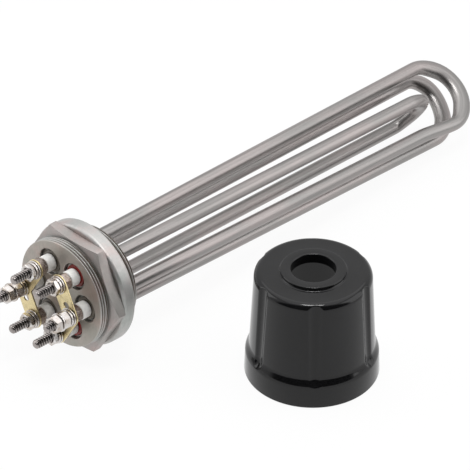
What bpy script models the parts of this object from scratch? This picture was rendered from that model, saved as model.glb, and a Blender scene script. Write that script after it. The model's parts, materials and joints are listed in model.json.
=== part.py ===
"""Screw plug immersion heater, with its terminal cap taken off and standing beside it.

The heater lies as it comes to rest, on its flange and on the lowest of its legs.  Its own axis is X,
from the terminals at -X to the bends of the tubes at +X, and x = 0 is the sealing face.  Angles about
that axis are counted from +Y towards +Z.  The finished set stands on z = 0 and is centred on the origin.
"""
import math

import bmesh
import bpy
from mathutils import Matrix, Vector

mm = 0.001

# Clearances
touch_gap = 0.3 * mm            # between pieces that touch
merge_distance = 0.005 * mm     # points closer than this are one point
cutter_past = 1 * mm            # how far a cutter runs past what it cuts
cone_margin = 0.4               # the same for a hexagon's chamfer, as a share of its corners' height

# Facets
head_facets = 48
cap_facets = 40
dish_facets = 16
tube_facets = 12
hidden_tube_facets = 6
small_facets = 12
bend_steps = 12
corner_steps = 4
fillet_steps = 4
edge_steps = 2

# Plug, along its axis from the tank to the terminals
spigot_radius = 32.86 * mm
spigot_length = 9 * mm
spigot_chamfer = 1.2 * mm
thread_relief_depth = 1.6 * mm
thread_relief_width = 2.0 * mm
flange_radius = 39.8 * mm
flange_thickness = 9.4 * mm
flange_edge_radius = 1.2 * mm
hexagon_ledge = 1.4 * mm        # from the boss's side to the hexagon's flats
hexagon_height = 7.6 * mm
hexagon_chamfer_angle = math.radians(20)
boss_rim = 5.3 * mm             # from a dish to the boss's side
boss_height = 6.8 * mm
boss_chamfer = 0.9 * mm
boss_relief_depth = 0.9 * mm
boss_relief_width = 1.5 * mm

# Legs and their holes in the plug
leg_circle_radius = 20.7 * mm
leg_count = 6
leg_spacing_angle = 2 * math.pi / leg_count
dish_radius = 8.6 * mm
dish_depth = 3.2 * mm
dish_chamfer = 0.5 * mm

# Sheath tubes, magnesia and windings
sheath_radius = 4.25 * mm
sheath_wall = 0.8 * mm
sheath_stand = 1.9 * mm         # how far a sheath's end stands out of its dish floor
straight_past_spigot = 15 * mm  # where the legs start to splay
front_loop_bend_x = 293.7 * mm
rear_loop_bend_x = 290.4 * mm
outer_loop_splay = 2.9 * mm     # how far the outer loops open out by their bends
inner_loop_bend_x = 273.8 * mm
inner_loop_pinch = 4.2 * mm     # how far the inner loop closes in by its bend
bend_spread = 1.4 * mm          # each bend is pressed: wider by this on both sides within its plane
bend_press = 0.2 * mm           # and thinner by this on both sides across it
press_angle = math.radians(45)  # how far into the bend the pressing reaches its full depth
front_corner_out = 2.4 * mm     # how far the front loop's first leg bulges outwards at its bend
rear_corner_on = 8.8 * mm       # how much further along the axis the rear loop's first leg ends
inner_corner_back = 4.5 * mm    # how much sooner the inner loop's first leg ends
corner_sweep = math.radians(120)  # how far round a bend such an uneven first corner is felt
corner_reach = 30 * mm          # how far back along its leg
core_wall = 1.0 * mm
core_recess = 3 * mm            # from the sheath's end to the magnesia
coil_wall = 0.35 * mm
cold_margin = 3 * mm            # from the cold pin's end to where the legs start to splay

# Terminal stack, from the dish outwards
seal_margin = 1.4 * mm          # between the seal and the dish's wall
bead_radius = 5.3 * mm
bead_length = 6.6 * mm
bead_chamfer = 0.6 * mm
stud_radius = 3.0 * mm
stud_tip_length = 2.4 * mm
stud_tip_radius = 1.8 * mm
nut_across_flats = 10 * mm
nut_height = 5 * mm
thin_nut_height = 3.2 * mm      # top nuts, but not on the supply terminals
nut_chamfer_angle = math.radians(30)
nut_turn = math.radians(17)     # how much each terminal's nuts are turned against the one before
link_thickness = 1.0 * mm
link_width = 12.6 * mm
spare_hole_radius = 2.3 * mm
spare_hole_distance = 7 * mm    # from the plate's middle stud
flat_washer_radius = 6 * mm
flat_washer_thickness = 1.0 * mm
spring_washer_radius = 5.5 * mm
spring_washer_thickness = 1.5 * mm
spring_washer_slot = 0.8 * mm
spring_washer_slant = math.radians(35)
stud_past_top_nut = 12.1 * mm
stud_past_supply_nut = 5.4 * mm

# Cap
cap_height = 72 * mm
cap_mouth_wall = 5.9 * mm
skirt_height = 13.5 * mm
skirt_taper = 0.5 * mm
shoulder_height = 7.5 * mm
shoulder_step = 2.4 * mm
cap_body_taper = 2.3 * mm       # how much the body narrows up to its top edge
cap_edge_radius = 4.5 * mm
cap_wall = 4 * mm
mouth_depth = 11 * mm
cable_hole_radius = 13.5 * mm
cable_ring_radius = 20 * mm
cable_ring_height = 2.2 * mm
cable_ring_edge = 0.6 * mm
flute_count = 6
flute_radius = 7 * mm
flute_depth = 1.3 * mm
flute_turn = math.radians(47)
cap_x = 71.3 * mm               # from the sealing face, along the floor
cap_y = -118.5 * mm

# Sizes and places worked out from the ones above; the stack's places on x run outwards
hexagon_front_x = -(flange_thickness + hexagon_height)
face_x = hexagon_front_x - boss_height
boss_radius = leg_circle_radius + dish_radius + boss_rim
hexagon_across_flats = 2 * (boss_radius + hexagon_ledge)
dish_floor_x = face_x + dish_depth
sheath_end_x = dish_floor_x - sheath_stand
leg_hole_radius = sheath_radius + touch_gap
stud_bore_radius = stud_radius + touch_gap
core_radius = sheath_radius - sheath_wall - touch_gap
hidden_flatness = math.cos(math.pi / hidden_tube_facets)
coil_radius = core_radius - (core_wall + touch_gap) / hidden_flatness
pin_radius = (core_radius - core_wall) * hidden_flatness - touch_gap
cold_end_x = spigot_length + straight_past_spigot - cold_margin
supply_terminals = (1, 4)
bead_base_x = sheath_end_x - touch_gap
bead_end_x = bead_base_x - bead_length
lower_nut_x = bead_end_x - touch_gap
link_x = lower_nut_x - nut_height - touch_gap
flat_washer_x = link_x - link_thickness - touch_gap
spring_washer_x = flat_washer_x - flat_washer_thickness - touch_gap
top_nut_x = spring_washer_x - spring_washer_thickness - touch_gap
stud_tip_x = top_nut_x - thin_nut_height - stud_past_top_nut
supply_washer_x = top_nut_x - nut_height - touch_gap
supply_nut_x = supply_washer_x - flat_washer_thickness - touch_gap
supply_stud_tip_x = supply_nut_x - nut_height - stud_past_supply_nut
inner_mouth_radius = boss_radius + touch_gap
cap_mouth_radius = inner_mouth_radius + cap_mouth_wall
body_foot_radius = cap_mouth_radius - skirt_taper - shoulder_step
cap_top_radius = body_foot_radius - cap_body_taper


def remove_everything():
    """Empty the scene of the objects that it starts with."""
    for thing in list(bpy.data.objects):
        bpy.data.objects.remove(thing, do_unlink=True)


def collection(name):
    """A new collection in the scene."""
    group = bpy.data.collections.new(name)
    bpy.context.scene.collection.children.link(group)
    return group


def material(name, colour, metallic, roughness):
    """A Principled material with one colour."""
    finish = bpy.data.materials.new(name)
    finish.use_nodes = True
    finish.diffuse_color = (*colour, 1)
    shader = finish.node_tree.nodes["Principled BSDF"]
    shader.inputs["Base Color"].default_value = (*colour, 1)
    shader.inputs["Metallic"].default_value = metallic
    shader.inputs["Roughness"].default_value = roughness
    return finish


def add_object(name, mesh, group):
    """An object that shows a mesh, in a collection."""
    thing = bpy.data.objects.new(name, mesh)
    group.objects.link(thing)
    return thing


def mesh_from_edges(name, points, closed):
    """A mesh of one chain of edges."""
    edges = [(i, i + 1) for i in range(len(points) - 1)]
    if closed:
        edges.append((len(points) - 1, 0))
    mesh = bpy.data.meshes.new(name)
    mesh.from_pydata(points, edges, [])
    return mesh


def turned(name, profile, facets, group, closed=False):
    """A turned piece: (axial, radius) points, from the +Z end down the outer side, spun about Z."""
    points = [(radius, 0, axial) for axial, radius in profile]
    thing = add_object(name, mesh_from_edges(name, points, closed), group)
    screw = thing.modifiers.new("turn", "SCREW")
    screw.steps = facets
    screw.render_steps = facets
    screw.use_merge_vertices = True
    screw.merge_threshold = merge_distance
    screw.use_smooth_shade = True
    return thing


def ring_profile(inner, outer, bottom, top, chamfer=0.0):
    """A ring's section, with its outer edges chamfered."""
    profile = [(top, inner), (top, outer - chamfer), (bottom, outer - chamfer), (bottom, inner)]
    if chamfer:
        profile[2:2] = [(top - chamfer, outer), (bottom + chamfer, outer)]
    return profile


def cylinder(name, radius, bottom, top, facets, group):
    """A plain cylinder or prism along Z, with a corner at +Y."""
    shape = bmesh.new()
    bmesh.ops.create_cone(shape, cap_ends=True, segments=facets, radius1=radius, radius2=radius,
                          depth=top - bottom, matrix=Matrix.Translation((0, 0, (top + bottom) / 2)))
    mesh = bpy.data.meshes.new(name)
    shape.to_mesh(mesh)
    shape.free()
    return add_object(name, mesh, group)


def combine(thing, other, operation):
    """Join, cut or intersect a piece with another one."""
    boolean = thing.modifiers.new(operation.lower(), "BOOLEAN")
    boolean.operation = operation
    boolean.solver = "EXACT"
    boolean.object = other
    other.hide_render = True
    other.display_type = "WIRE"


def finished_mesh(thing, sharp_angle=math.radians(32)):
    """The piece's mesh with its modifiers applied, smooth where it is round."""
    depsgraph = bpy.context.evaluated_depsgraph_get()
    mesh = bpy.data.meshes.new_from_object(thing.evaluated_get(depsgraph))
    mesh.name = thing.name
    shape = bmesh.new()
    shape.from_mesh(mesh)
    bmesh.ops.remove_doubles(shape, verts=shape.verts, dist=merge_distance)
    shape.to_mesh(mesh)
    shape.free()
    mesh.shade_smooth()
    mesh.set_sharp_from_angle(angle=sharp_angle)
    return mesh


def applied(thing):
    """Swap the piece's mesh for its finished one."""
    mesh = finished_mesh(thing)
    thing.modifiers.clear()
    thing.data = mesh
    return thing


def chamfered_hexagon(name, across_flats, bottom, top, chamfer_angle, both_ends, facets, cutters):
    """A hexagonal prism whose corners are turned off by a cone at its top, and at its bottom if asked."""
    corner_radius = across_flats / math.sqrt(3)
    flat_radius = across_flats / 2
    past = (corner_radius - flat_radius) * cone_margin
    rise = past * math.tan(chamfer_angle)
    drop = (corner_radius - flat_radius + past) * math.tan(chamfer_angle)
    barrel = [(top + rise, 0), (top + rise, flat_radius - past), (top - drop, corner_radius + past)]
    if both_ends:
        barrel += [(bottom + drop, corner_radius + past), (bottom - rise, flat_radius - past)]
    else:
        barrel.append((bottom - rise, corner_radius + past))
    barrel.append((bottom - rise, 0))
    prism = cylinder(name, corner_radius, bottom, top, 6, cutters)
    combine(prism, turned(name + "_barrel", barrel, facets, cutters), "INTERSECT")
    return prism


def leg_centre(index):
    """Where leg or terminal number 1 to 6 lies round the axis, as (y, z)."""
    angle = (index - 1) * leg_spacing_angle
    return leg_circle_radius * math.cos(angle), leg_circle_radius * math.sin(angle)


# Along the axis: a turned piece has its own +Z turned to the heater's +X
along_axis = Matrix.Rotation(math.pi / 2, 4, "Y")


def place(thing, parent, matrix):
    """Hang a piece on its parent at a matrix in the parent's own frame."""
    thing.parent = parent
    thing.matrix_local = matrix


def place_on_terminal(thing, parent, index, x, turn=0.0):
    """Put a piece made along Z on a terminal's axis, its +Z end pointing away from the tank."""
    y, z = leg_centre(index)
    outwards = Matrix.Rotation(-math.pi / 2, 4, "Y")
    place(thing, parent, Matrix.Translation((x, y, z)) @ outwards @ Matrix.Rotation(turn, 4, "Z"))


def arc_points(centre_axial, centre_radius, radius, start, end, steps):
    """Points of a fillet in a turned profile; angle 0 points outwards and 90 degrees along +Z."""
    points = []
    for step in range(steps + 1):
        angle = start + (end - start) * step / steps
        points.append((centre_axial + radius * math.sin(angle), centre_radius + radius * math.cos(angle)))
    return points


def flange_edge(axial, start, end):
    """One rounded edge of the flange."""
    return arc_points(axial, flange_radius - flange_edge_radius, flange_edge_radius, start, end,
                      edge_steps)


def plug_profile():
    """The plug's turned outline, from the tank end to the terminal face."""
    relief_radius = spigot_radius - thread_relief_depth
    boss_root_radius = boss_radius - boss_relief_depth
    relief_end = hexagon_front_x - boss_relief_width
    return [
        (spigot_length, 0),
        (spigot_length, spigot_radius - spigot_chamfer),
        (spigot_length - spigot_chamfer, spigot_radius),
        (thread_relief_width + thread_relief_depth, spigot_radius),
        (thread_relief_width, relief_radius),
        (0, relief_radius),
        *flange_edge(-flange_edge_radius, math.pi / 2, 0),
        *flange_edge(-flange_thickness + flange_edge_radius, 0, -math.pi / 2),
        (-flange_thickness, boss_root_radius),
        (relief_end, boss_root_radius),
        (relief_end - boss_relief_depth, boss_radius),
        (face_x + boss_chamfer, boss_radius),
        (face_x, boss_radius - boss_chamfer),
        (face_x, 0),
    ]


def dished_hole(name, cutters):
    """The cutter of one leg's hole and of the dish round it, along the plug's axis."""
    mouth_radius = dish_radius + dish_chamfer + cutter_past
    profile = [
        (spigot_length + cutter_past, 0),
        (spigot_length + cutter_past, leg_hole_radius),
        (dish_floor_x, leg_hole_radius),
        (dish_floor_x, dish_radius),
        (face_x + dish_chamfer, dish_radius),
        (face_x - cutter_past, mouth_radius),
        (face_x - cutter_past, 0),
    ]
    return turned(name, profile, dish_facets, cutters)


def make_plug(parent, steel, parts, cutters):
    """The machined plug: turned body, hexagon, and six dished holes for the legs."""
    plug = turned("plug_head", plug_profile(), head_facets, parts)
    hexagon_bottom = flange_thickness - touch_gap
    hexagon = chamfered_hexagon("hexagon", hexagon_across_flats, hexagon_bottom, -hexagon_front_x,
                                hexagon_chamfer_angle, False, head_facets, cutters)
    applied(hexagon).matrix_world = Matrix.Rotation(math.pi, 4, "X")
    combine(plug, hexagon, "UNION")
    for index in range(1, leg_count + 1):
        y, z = leg_centre(index)
        hole = dished_hole(f"leg_hole_{index}", cutters)
        hole.location = along_axis.inverted() @ Vector((0, y, z))
        combine(plug, hole, "DIFFERENCE")
    bpy.context.view_layer.update()
    applied(plug)
    plug.data.materials.append(steel)
    place(plug, parent, along_axis)
    return plug


def pressed_share(angle):
    """How much of the full pressing a bend has at an angle from 0 to 180 degrees round it."""
    return min(1, math.sin(angle) / math.sin(press_angle))


def corner_share(angle):
    """How much of an uneven first corner is left at an angle from 0 to 180 degrees round its bend."""
    return math.cos(math.pi / 2 * min(1, angle / corner_sweep)) ** 2


def leg_line(near_half, far_half, end_x, out, start_x):
    """One leg as (x, half width) points: straight, splayed, and bulging outwards before its bend."""
    straight_x = spigot_length + straight_past_spigot
    points = [(start_x, near_half), (straight_x, near_half)]
    for step in range(corner_steps if out else 0):
        share = step / corner_steps
        x = end_x - corner_reach * (1 - share)
        splay = (far_half - near_half) * (x - straight_x) / (end_x - straight_x)
        points.append((x, near_half + splay + out * share * share * (3 - 2 * share)))
    return points


def loop_path(offset_angle, offset, near_half, far_half, bend_x, corner_on, corner_out, start_x):
    """A U tube's centre line: a leg, half a circle and a leg, in a plane beside the plug's axis.

    The pressing spreads the bend inwards, so the centre line steps in by the spread.  The first
    corner of the half circle is shifted along the axis and outwards.
    """
    normal = Vector((0, math.cos(offset_angle), math.sin(offset_angle)))
    across = Vector((0, -math.sin(offset_angle), math.cos(offset_angle)))
    first_leg = leg_line(near_half, far_half, bend_x + corner_on, corner_out, start_x)
    second_leg = leg_line(near_half, far_half, bend_x, 0, start_x)
    bend = []
    shares = []
    for step in range(bend_steps + 1):
        angle = math.pi * step / bend_steps
        pressed = pressed_share(angle)
        corner = corner_share(angle)
        radius = far_half - bend_spread * pressed
        x = bend_x + radius * math.sin(angle) + corner_on * corner
        bend.append((x, radius * math.cos(angle) + corner_out * corner))
        shares.append(pressed)
    line = first_leg + bend + [(x, -half) for x, half in reversed(second_leg)]
    path = [Vector((x, 0, 0)) + normal * offset + across * half for x, half in line]
    return path, [0] * len(first_leg) + shares + [0] * len(second_leg), normal


def press_bend(skin, path, shares, normal, radius):
    """Flatten a tube where it bends: thinner along the normal of its loop and wider within the loop."""
    for vertex in skin.vertices:
        ring = min(range(len(path)), key=lambda index: (vertex.co - path[index]).length)
        out = vertex.co - path[ring]
        rise = normal * out.dot(normal)
        thinner = 1 - shares[ring] * bend_press / radius
        wider = 1 + shares[ring] * bend_spread / sheath_radius
        vertex.co = path[ring] + rise * thinner + (out - rise) * wider


def tube(name, loop, radius, wall, facets, group):
    """An open-ended tube along a loop, with its wall inside the radius and its bend pressed."""
    path, shares, normal = loop
    curve = bpy.data.curves.new(name, "CURVE")
    curve.dimensions = "3D"
    curve.bevel_depth = radius
    curve.bevel_resolution = (facets - 4) // 2
    curve.use_fill_caps = False
    spline = curve.splines.new("POLY")
    spline.points.add(len(path) - 1)
    for point, place_on_path in zip(spline.points, path):
        point.co = (*place_on_path, 1)
    line = add_object(name + "_line", curve, group)
    skin = finished_mesh(line)
    bpy.data.objects.remove(line)
    press_bend(skin, path, shares, normal, radius)
    thing = add_object(name, skin, group)
    wall_inside = thing.modifiers.new("wall", "SOLIDIFY")
    wall_inside.thickness = wall
    wall_inside.offset = -1
    wall_inside.use_even_offset = True
    return applied(thing)


def make_loops(parent, steel, magnesia, winding, parts):
    """Three U tubes: two side by side, and a shorter one across them that reaches through both."""
    outer_near_half = leg_circle_radius * math.sin(leg_spacing_angle)
    outer_offset = leg_circle_radius * math.cos(leg_spacing_angle)
    outer_far_half = outer_near_half + outer_loop_splay
    outer = (outer_offset, outer_near_half, outer_far_half)
    inner = (0, leg_circle_radius, leg_circle_radius - inner_loop_pinch)
    loops = {
        "a": (2 * leg_spacing_angle, *outer, front_loop_bend_x, 0, front_corner_out),
        "b": (5 * leg_spacing_angle, *outer, rear_loop_bend_x, rear_corner_on, 0),
        "c": (leg_spacing_angle / 2, *inner, inner_loop_bend_x, -inner_corner_back, 0),
    }
    sheath_points = []
    for letter, sizes in loops.items():
        core_end_x = sheath_end_x + core_recess
        coil_end_x = cold_end_x + touch_gap
        layers = [
            ("sheath", sheath_end_x, sheath_radius, sheath_wall, tube_facets, steel),
            ("magnesia_core", core_end_x, core_radius, core_wall, hidden_tube_facets, magnesia),
            ("heating_coil", coil_end_x, coil_radius, coil_wall, hidden_tube_facets, winding),
        ]
        for layer, start_x, radius, wall, facets, finish in layers:
            loop = loop_path(*sizes, start_x)
            piece = tube(f"{layer}_{letter}", loop, radius, wall, facets, parts)
            piece.data.materials.append(finish)
            place(piece, parent, Matrix.Identity(4))
            if layer == "sheath":
                sheath_points += loop[0]
    return sheath_points


def stud_profile(tip_x):
    """Stud and cold pin, from the tip inwards; the pin's end is at z = 0."""
    end = cold_end_x - tip_x
    shoulder = cold_end_x - bead_base_x
    return [
        (end, 0),
        (end, stud_tip_radius),
        (end - stud_tip_length, stud_radius),
        (shoulder, stud_radius),
        (shoulder, pin_radius),
        (0, pin_radius),
        (0, 0),
    ]


def circle_arc(centre, radius, start, sweep, steps):
    """Points along an arc in the plane, both ends included."""
    angles = [start + sweep * step / steps for step in range(steps + 1)]
    return [centre + Vector((math.cos(angle), math.sin(angle))) * radius for angle in angles]


def link_centres():
    """Three neighbouring terminals as the link plate sees them, the middle one on +X."""
    angles = (-leg_spacing_angle, 0, leg_spacing_angle)
    return [Vector((math.cos(angle), math.sin(angle))) * leg_circle_radius for angle in angles]


def link_outline():
    """The link plate's edge round three terminals: round ends, a round knee and an inner corner."""
    half_width = link_width / 2
    bend = leg_spacing_angle / 2
    first, middle, last = link_centres()
    outline = circle_arc(first, half_width, math.pi - bend, math.pi, small_facets // 2)
    outline += circle_arc(middle, half_width, -bend, 2 * bend, fillet_steps)
    outline += circle_arc(last, half_width, bend, math.pi, small_facets // 2)
    outline.append(Vector((leg_circle_radius - half_width / math.cos(bend), 0)))
    return outline


def make_link_mesh(finish, group):
    """A flat brass plate with three stud holes and one spare hole; it lies in X and Y, centred on z = 0."""
    curve = bpy.data.curves.new("link_plate", "CURVE")
    curve.dimensions = "2D"
    curve.fill_mode = "BOTH"
    curve.extrude = link_thickness / 2
    first, middle, last = link_centres()
    holes = [(first, stud_bore_radius), (middle, stud_bore_radius), (last, stud_bore_radius)]
    holes.append((middle + (first - middle).normalized() * spare_hole_distance, spare_hole_radius))
    outlines = [link_outline()]
    for centre, radius in holes:
        outlines.append(circle_arc(centre, radius, 0, 2 * math.pi, small_facets)[:-1])
    for outline in outlines:
        spline = curve.splines.new("POLY")
        spline.points.add(len(outline) - 1)
        for point, (x, y) in zip(spline.points, outline):
            point.co = (x, y, 0, 1)
        spline.use_cyclic_u = True
    flat = add_object("link_outline", curve, group)
    mesh = finished_mesh(flat)
    mesh.materials.append(finish)
    bpy.data.objects.remove(flat)
    return mesh


def make_nut_mesh(height, finish, cutters):
    """A hexagon nut along Z from z = 0, chamfered at both ends, with a bore that clears the stud."""
    nut = chamfered_hexagon("nut", nut_across_flats, 0, height, nut_chamfer_angle, True, small_facets,
                            cutters)
    bore = cylinder("nut_bore", stud_bore_radius, -cutter_past, height + cutter_past, small_facets, cutters)
    combine(nut, bore, "DIFFERENCE")
    bpy.context.view_layer.update()
    mesh = finished_mesh(nut)
    mesh.materials.append(finish)
    return mesh


def make_stud_mesh(name, tip_x, finish, cutters):
    """A terminal stud along Z with its cold pin."""
    mesh = finished_mesh(turned(name, stud_profile(tip_x), small_facets, cutters))
    mesh.materials.append(finish)
    return mesh


def make_ring_mesh(name, inner, outer, height, finish, cutters, chamfer=0.0):
    """A turned ring along Z from z = 0."""
    ring = turned(name, ring_profile(inner, outer, 0, height, chamfer), small_facets, cutters, closed=True)
    mesh = finished_mesh(ring)
    mesh.materials.append(finish)
    return mesh


def make_spring_washer_mesh(finish, cutters):
    """A split ring, pressed flat, with a slanted slot."""
    section = ring_profile(stud_bore_radius, spring_washer_radius, 0, spring_washer_thickness)
    ring = turned("split_ring", section, small_facets, cutters, closed=True)
    middle_radius = (stud_bore_radius + spring_washer_radius) / 2
    slot_depth = 2 * (spring_washer_thickness + cutter_past)
    slot = bmesh.new()
    middle = Matrix.Translation((0, -middle_radius, spring_washer_thickness / 2))
    slant = Matrix.Rotation(spring_washer_slant, 4, "Y")
    size = Matrix.Diagonal((spring_washer_slot, spring_washer_radius, slot_depth, 1))
    bmesh.ops.create_cube(slot, size=1, matrix=middle @ slant @ size)
    mesh = bpy.data.meshes.new("slot")
    slot.to_mesh(mesh)
    slot.free()
    combine(ring, add_object("slot", mesh, cutters), "DIFFERENCE")
    bpy.context.view_layer.update()
    washer = finished_mesh(ring)
    washer.materials.append(finish)
    return washer


def make_terminals(parent, finishes, parts, cutters):
    """Six studs with their beads, seals, nuts and washers, and the two plates that link them."""
    stud = make_stud_mesh("stud", stud_tip_x, finishes["stud"], cutters)
    supply_stud = make_stud_mesh("supply_stud", supply_stud_tip_x, finishes["stud"], cutters)
    bead = make_ring_mesh("bead", stud_bore_radius, bead_radius, bead_length, finishes["ceramic"], cutters,
                          bead_chamfer)
    seal_thickness = sheath_stand - touch_gap
    seal = make_ring_mesh("seal", leg_hole_radius, dish_radius - seal_margin, seal_thickness,
                          finishes["silicone"], cutters)
    washer = make_ring_mesh("washer", stud_bore_radius, flat_washer_radius, flat_washer_thickness,
                            finishes["plated"], cutters)
    spring = make_spring_washer_mesh(finishes["plated"], cutters)
    nut = make_nut_mesh(nut_height, finishes["plated"], cutters)
    thin_nut = make_nut_mesh(thin_nut_height, finishes["plated"], cutters)
    stack = [
        ("silicone_seal", seal, dish_floor_x - touch_gap),
        ("ceramic_bead", bead, bead_base_x),
        ("lower_nut", nut, lower_nut_x),
        ("flat_washer", washer, flat_washer_x),
        ("spring_washer", spring, spring_washer_x),
    ]
    plain = [("terminal_stud", stud, cold_end_x), *stack, ("top_nut", thin_nut, top_nut_x)]
    supply = [("terminal_stud", supply_stud, cold_end_x), *stack, ("top_nut", nut, top_nut_x)]
    supply += [("supply_washer", washer, supply_washer_x), ("supply_nut", nut, supply_nut_x)]
    for index in range(1, leg_count + 1):
        pieces = supply if index in supply_terminals else plain
        for order, (name, mesh, x) in enumerate(pieces):
            piece = add_object(f"{name}_{index}", mesh, parts)
            place_on_terminal(piece, parent, index, x, nut_turn * (index + 2 * order))
    link = make_link_mesh(finishes["brass"], parts)
    middle_x = link_x - link_thickness / 2
    upright = Matrix(((0, 0, 1, middle_x), (1, 0, 0, 0), (0, 1, 0, 0), (0, 0, 0, 1)))
    opposite = Matrix(((0, 0, 1, middle_x), (-1, 0, 0, 0), (0, -1, 0, 0), (0, 0, 0, 1)))
    place(add_object("link_plate_a", link, parts), parent, upright)
    place(add_object("link_plate_b", link, parts), parent, opposite)


def shoulder_points():
    """The cap's soft step from the body down to the skirt, as a half wave of a cosine."""
    bottom_radius = cap_mouth_radius - skirt_taper
    points = []
    for step in range(fillet_steps + 2):
        share = step / (fillet_steps + 1)
        axial = skirt_height + shoulder_height * (1 - share)
        radius = bottom_radius - shoulder_step * (1 + math.cos(math.pi * share)) / 2
        points.append((axial, radius))
    return points


def cap_profile():
    """The cap's section, from the cable hole over the top, down outside and back up inside."""
    cavity_foot_radius = inner_mouth_radius - 2 * touch_gap
    cavity_top_radius = cap_top_radius - cap_wall
    ceiling = cap_height - cap_wall
    ring_top = cap_height + cable_ring_height
    profile = [
        (ring_top, cable_hole_radius),
        (ring_top, cable_ring_radius - cable_ring_edge),
        (ring_top - cable_ring_edge, cable_ring_radius),
        (cap_height, cable_ring_radius),
    ]
    lean = math.atan2(cap_body_taper, cap_height)
    profile += arc_points(cap_height - cap_edge_radius, cap_top_radius - cap_edge_radius, cap_edge_radius,
                          math.pi / 2, lean, fillet_steps)
    profile += shoulder_points()
    profile += [
        (0, cap_mouth_radius),
        (0, inner_mouth_radius),
        (mouth_depth, inner_mouth_radius),
        (mouth_depth + touch_gap, cavity_foot_radius),
    ]
    profile += arc_points(ceiling - cap_wall, cavity_top_radius - cap_wall, cap_wall, 0, math.pi / 2,
                          fillet_steps - 1)
    profile.append((ceiling, cable_hole_radius))
    return profile


def flute_cutter(index, cutters):
    """A long round-ended rod that leans with the cap's side and cuts one flute."""
    foot_axial = skirt_height + shoulder_height
    lean = math.atan2(cap_body_taper, cap_height - foot_axial)
    top = cap_height - foot_axial + flute_radius
    profile = [(top, 0), (top, flute_radius), (0, flute_radius)]
    profile += arc_points(0, 0, flute_radius, 0, -math.pi / 2, fillet_steps)[1:]
    rod = turned(f"flute_{index}", profile, small_facets, cutters)
    angle = flute_turn + 2 * math.pi * index / flute_count
    out = body_foot_radius + flute_radius - flute_depth
    stand = Matrix.Translation((out, 0, foot_axial)) @ Matrix.Rotation(-lean, 4, "Y")
    rod.matrix_world = Matrix.Rotation(angle, 4, "Z") @ stand
    return rod


def make_cap(parent, phenolic, parts, cutters):
    """The moulded cap: a tapered shell with a skirt, six flutes and a ringed cable hole."""
    cap = turned("terminal_cap", cap_profile(), cap_facets, parts, closed=True)
    for index in range(flute_count):
        combine(cap, flute_cutter(index, cutters), "DIFFERENCE")
    bpy.context.view_layer.update()
    applied(cap)
    cap.data.materials.append(phenolic)
    place(cap, parent, Matrix.Identity(4))
    return cap


def resting_lean(sheath_points):
    """How far the heater tips towards its loops before a tube touches the floor."""
    rim = Vector((-flange_edge_radius, 0, -flange_radius))
    drops = [point - rim - Vector((0, 0, sheath_radius)) for point in sheath_points]
    return min(math.atan2(drop.z, drop.x) for drop in drops if drop.x > 0)


def set_down(axis, cap_stand, sheath_points, parts):
    """Lay the heater on the floor, stand the cap beside it and centre the set on the origin."""
    lean = resting_lean(sheath_points)
    tip = Matrix.Rotation(lean, 4, "Y")
    rim_points = [tip @ Vector((axial, 0, -radius)) for axial, radius in plug_profile()]
    axis.matrix_world = Matrix.Translation((0, 0, -min(point.z for point in rim_points))) @ tip
    cap_stand.location = (cap_x, cap_y, 0)
    bpy.context.view_layer.update()
    corners = [thing.matrix_world @ vertex.co for thing in parts.objects if thing.type == "MESH"
               for vertex in thing.data.vertices]
    middle_x = (min(corner.x for corner in corners) + max(corner.x for corner in corners)) / 2
    middle_y = (min(corner.y for corner in corners) + max(corner.y for corner in corners)) / 2
    for stand in (axis, cap_stand):
        stand.matrix_world = Matrix.Translation((-middle_x, -middle_y, 0)) @ stand.matrix_world
    bpy.context.view_layer.update()


def main():
    remove_everything()
    parts = collection("screw_plug_immersion_heater")
    cutters = collection("cutters")
    axis = add_object("heater_axis", None, parts)
    cap_stand = add_object("cap_stand", None, parts)
    steel = material("stainless_steel", (0.56, 0.54, 0.52), 1, 0.32)
    finishes = {
        "stud": material("stud_steel", (0.30, 0.28, 0.27), 1, 0.42),
        "plated": material("plated_steel", (0.62, 0.60, 0.56), 1, 0.28),
        "brass": material("yellow_brass", (0.72, 0.58, 0.28), 1, 0.30),
        "ceramic": material("white_ceramic", (0.78, 0.77, 0.73), 0, 0.55),
        "silicone": material("red_silicone", (0.28, 0.02, 0.02), 0, 0.50),
    }
    magnesia = material("magnesia", (0.80, 0.79, 0.76), 0, 0.90)
    winding = material("resistance_wire", (0.45, 0.42, 0.38), 1, 0.45)
    phenolic = material("black_phenolic", (0.02, 0.02, 0.02), 0, 0.22)
    make_plug(axis, steel, parts, cutters)
    sheath_points = make_loops(axis, steel, magnesia, winding, parts)
    make_terminals(axis, finishes, parts, cutters)
    make_cap(cap_stand, phenolic, parts, cutters)
    for cutter in list(cutters.objects):
        bpy.data.objects.remove(cutter)
    set_down(axis, cap_stand, sheath_points, parts)


main()
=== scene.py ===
"""A screw plug immersion heater in a plain studio: fine surfaces and finishes over its packed parts."""
import json
import math

import bmesh
import bpy
import numpy as np
from mathutils import Matrix, Vector


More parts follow.
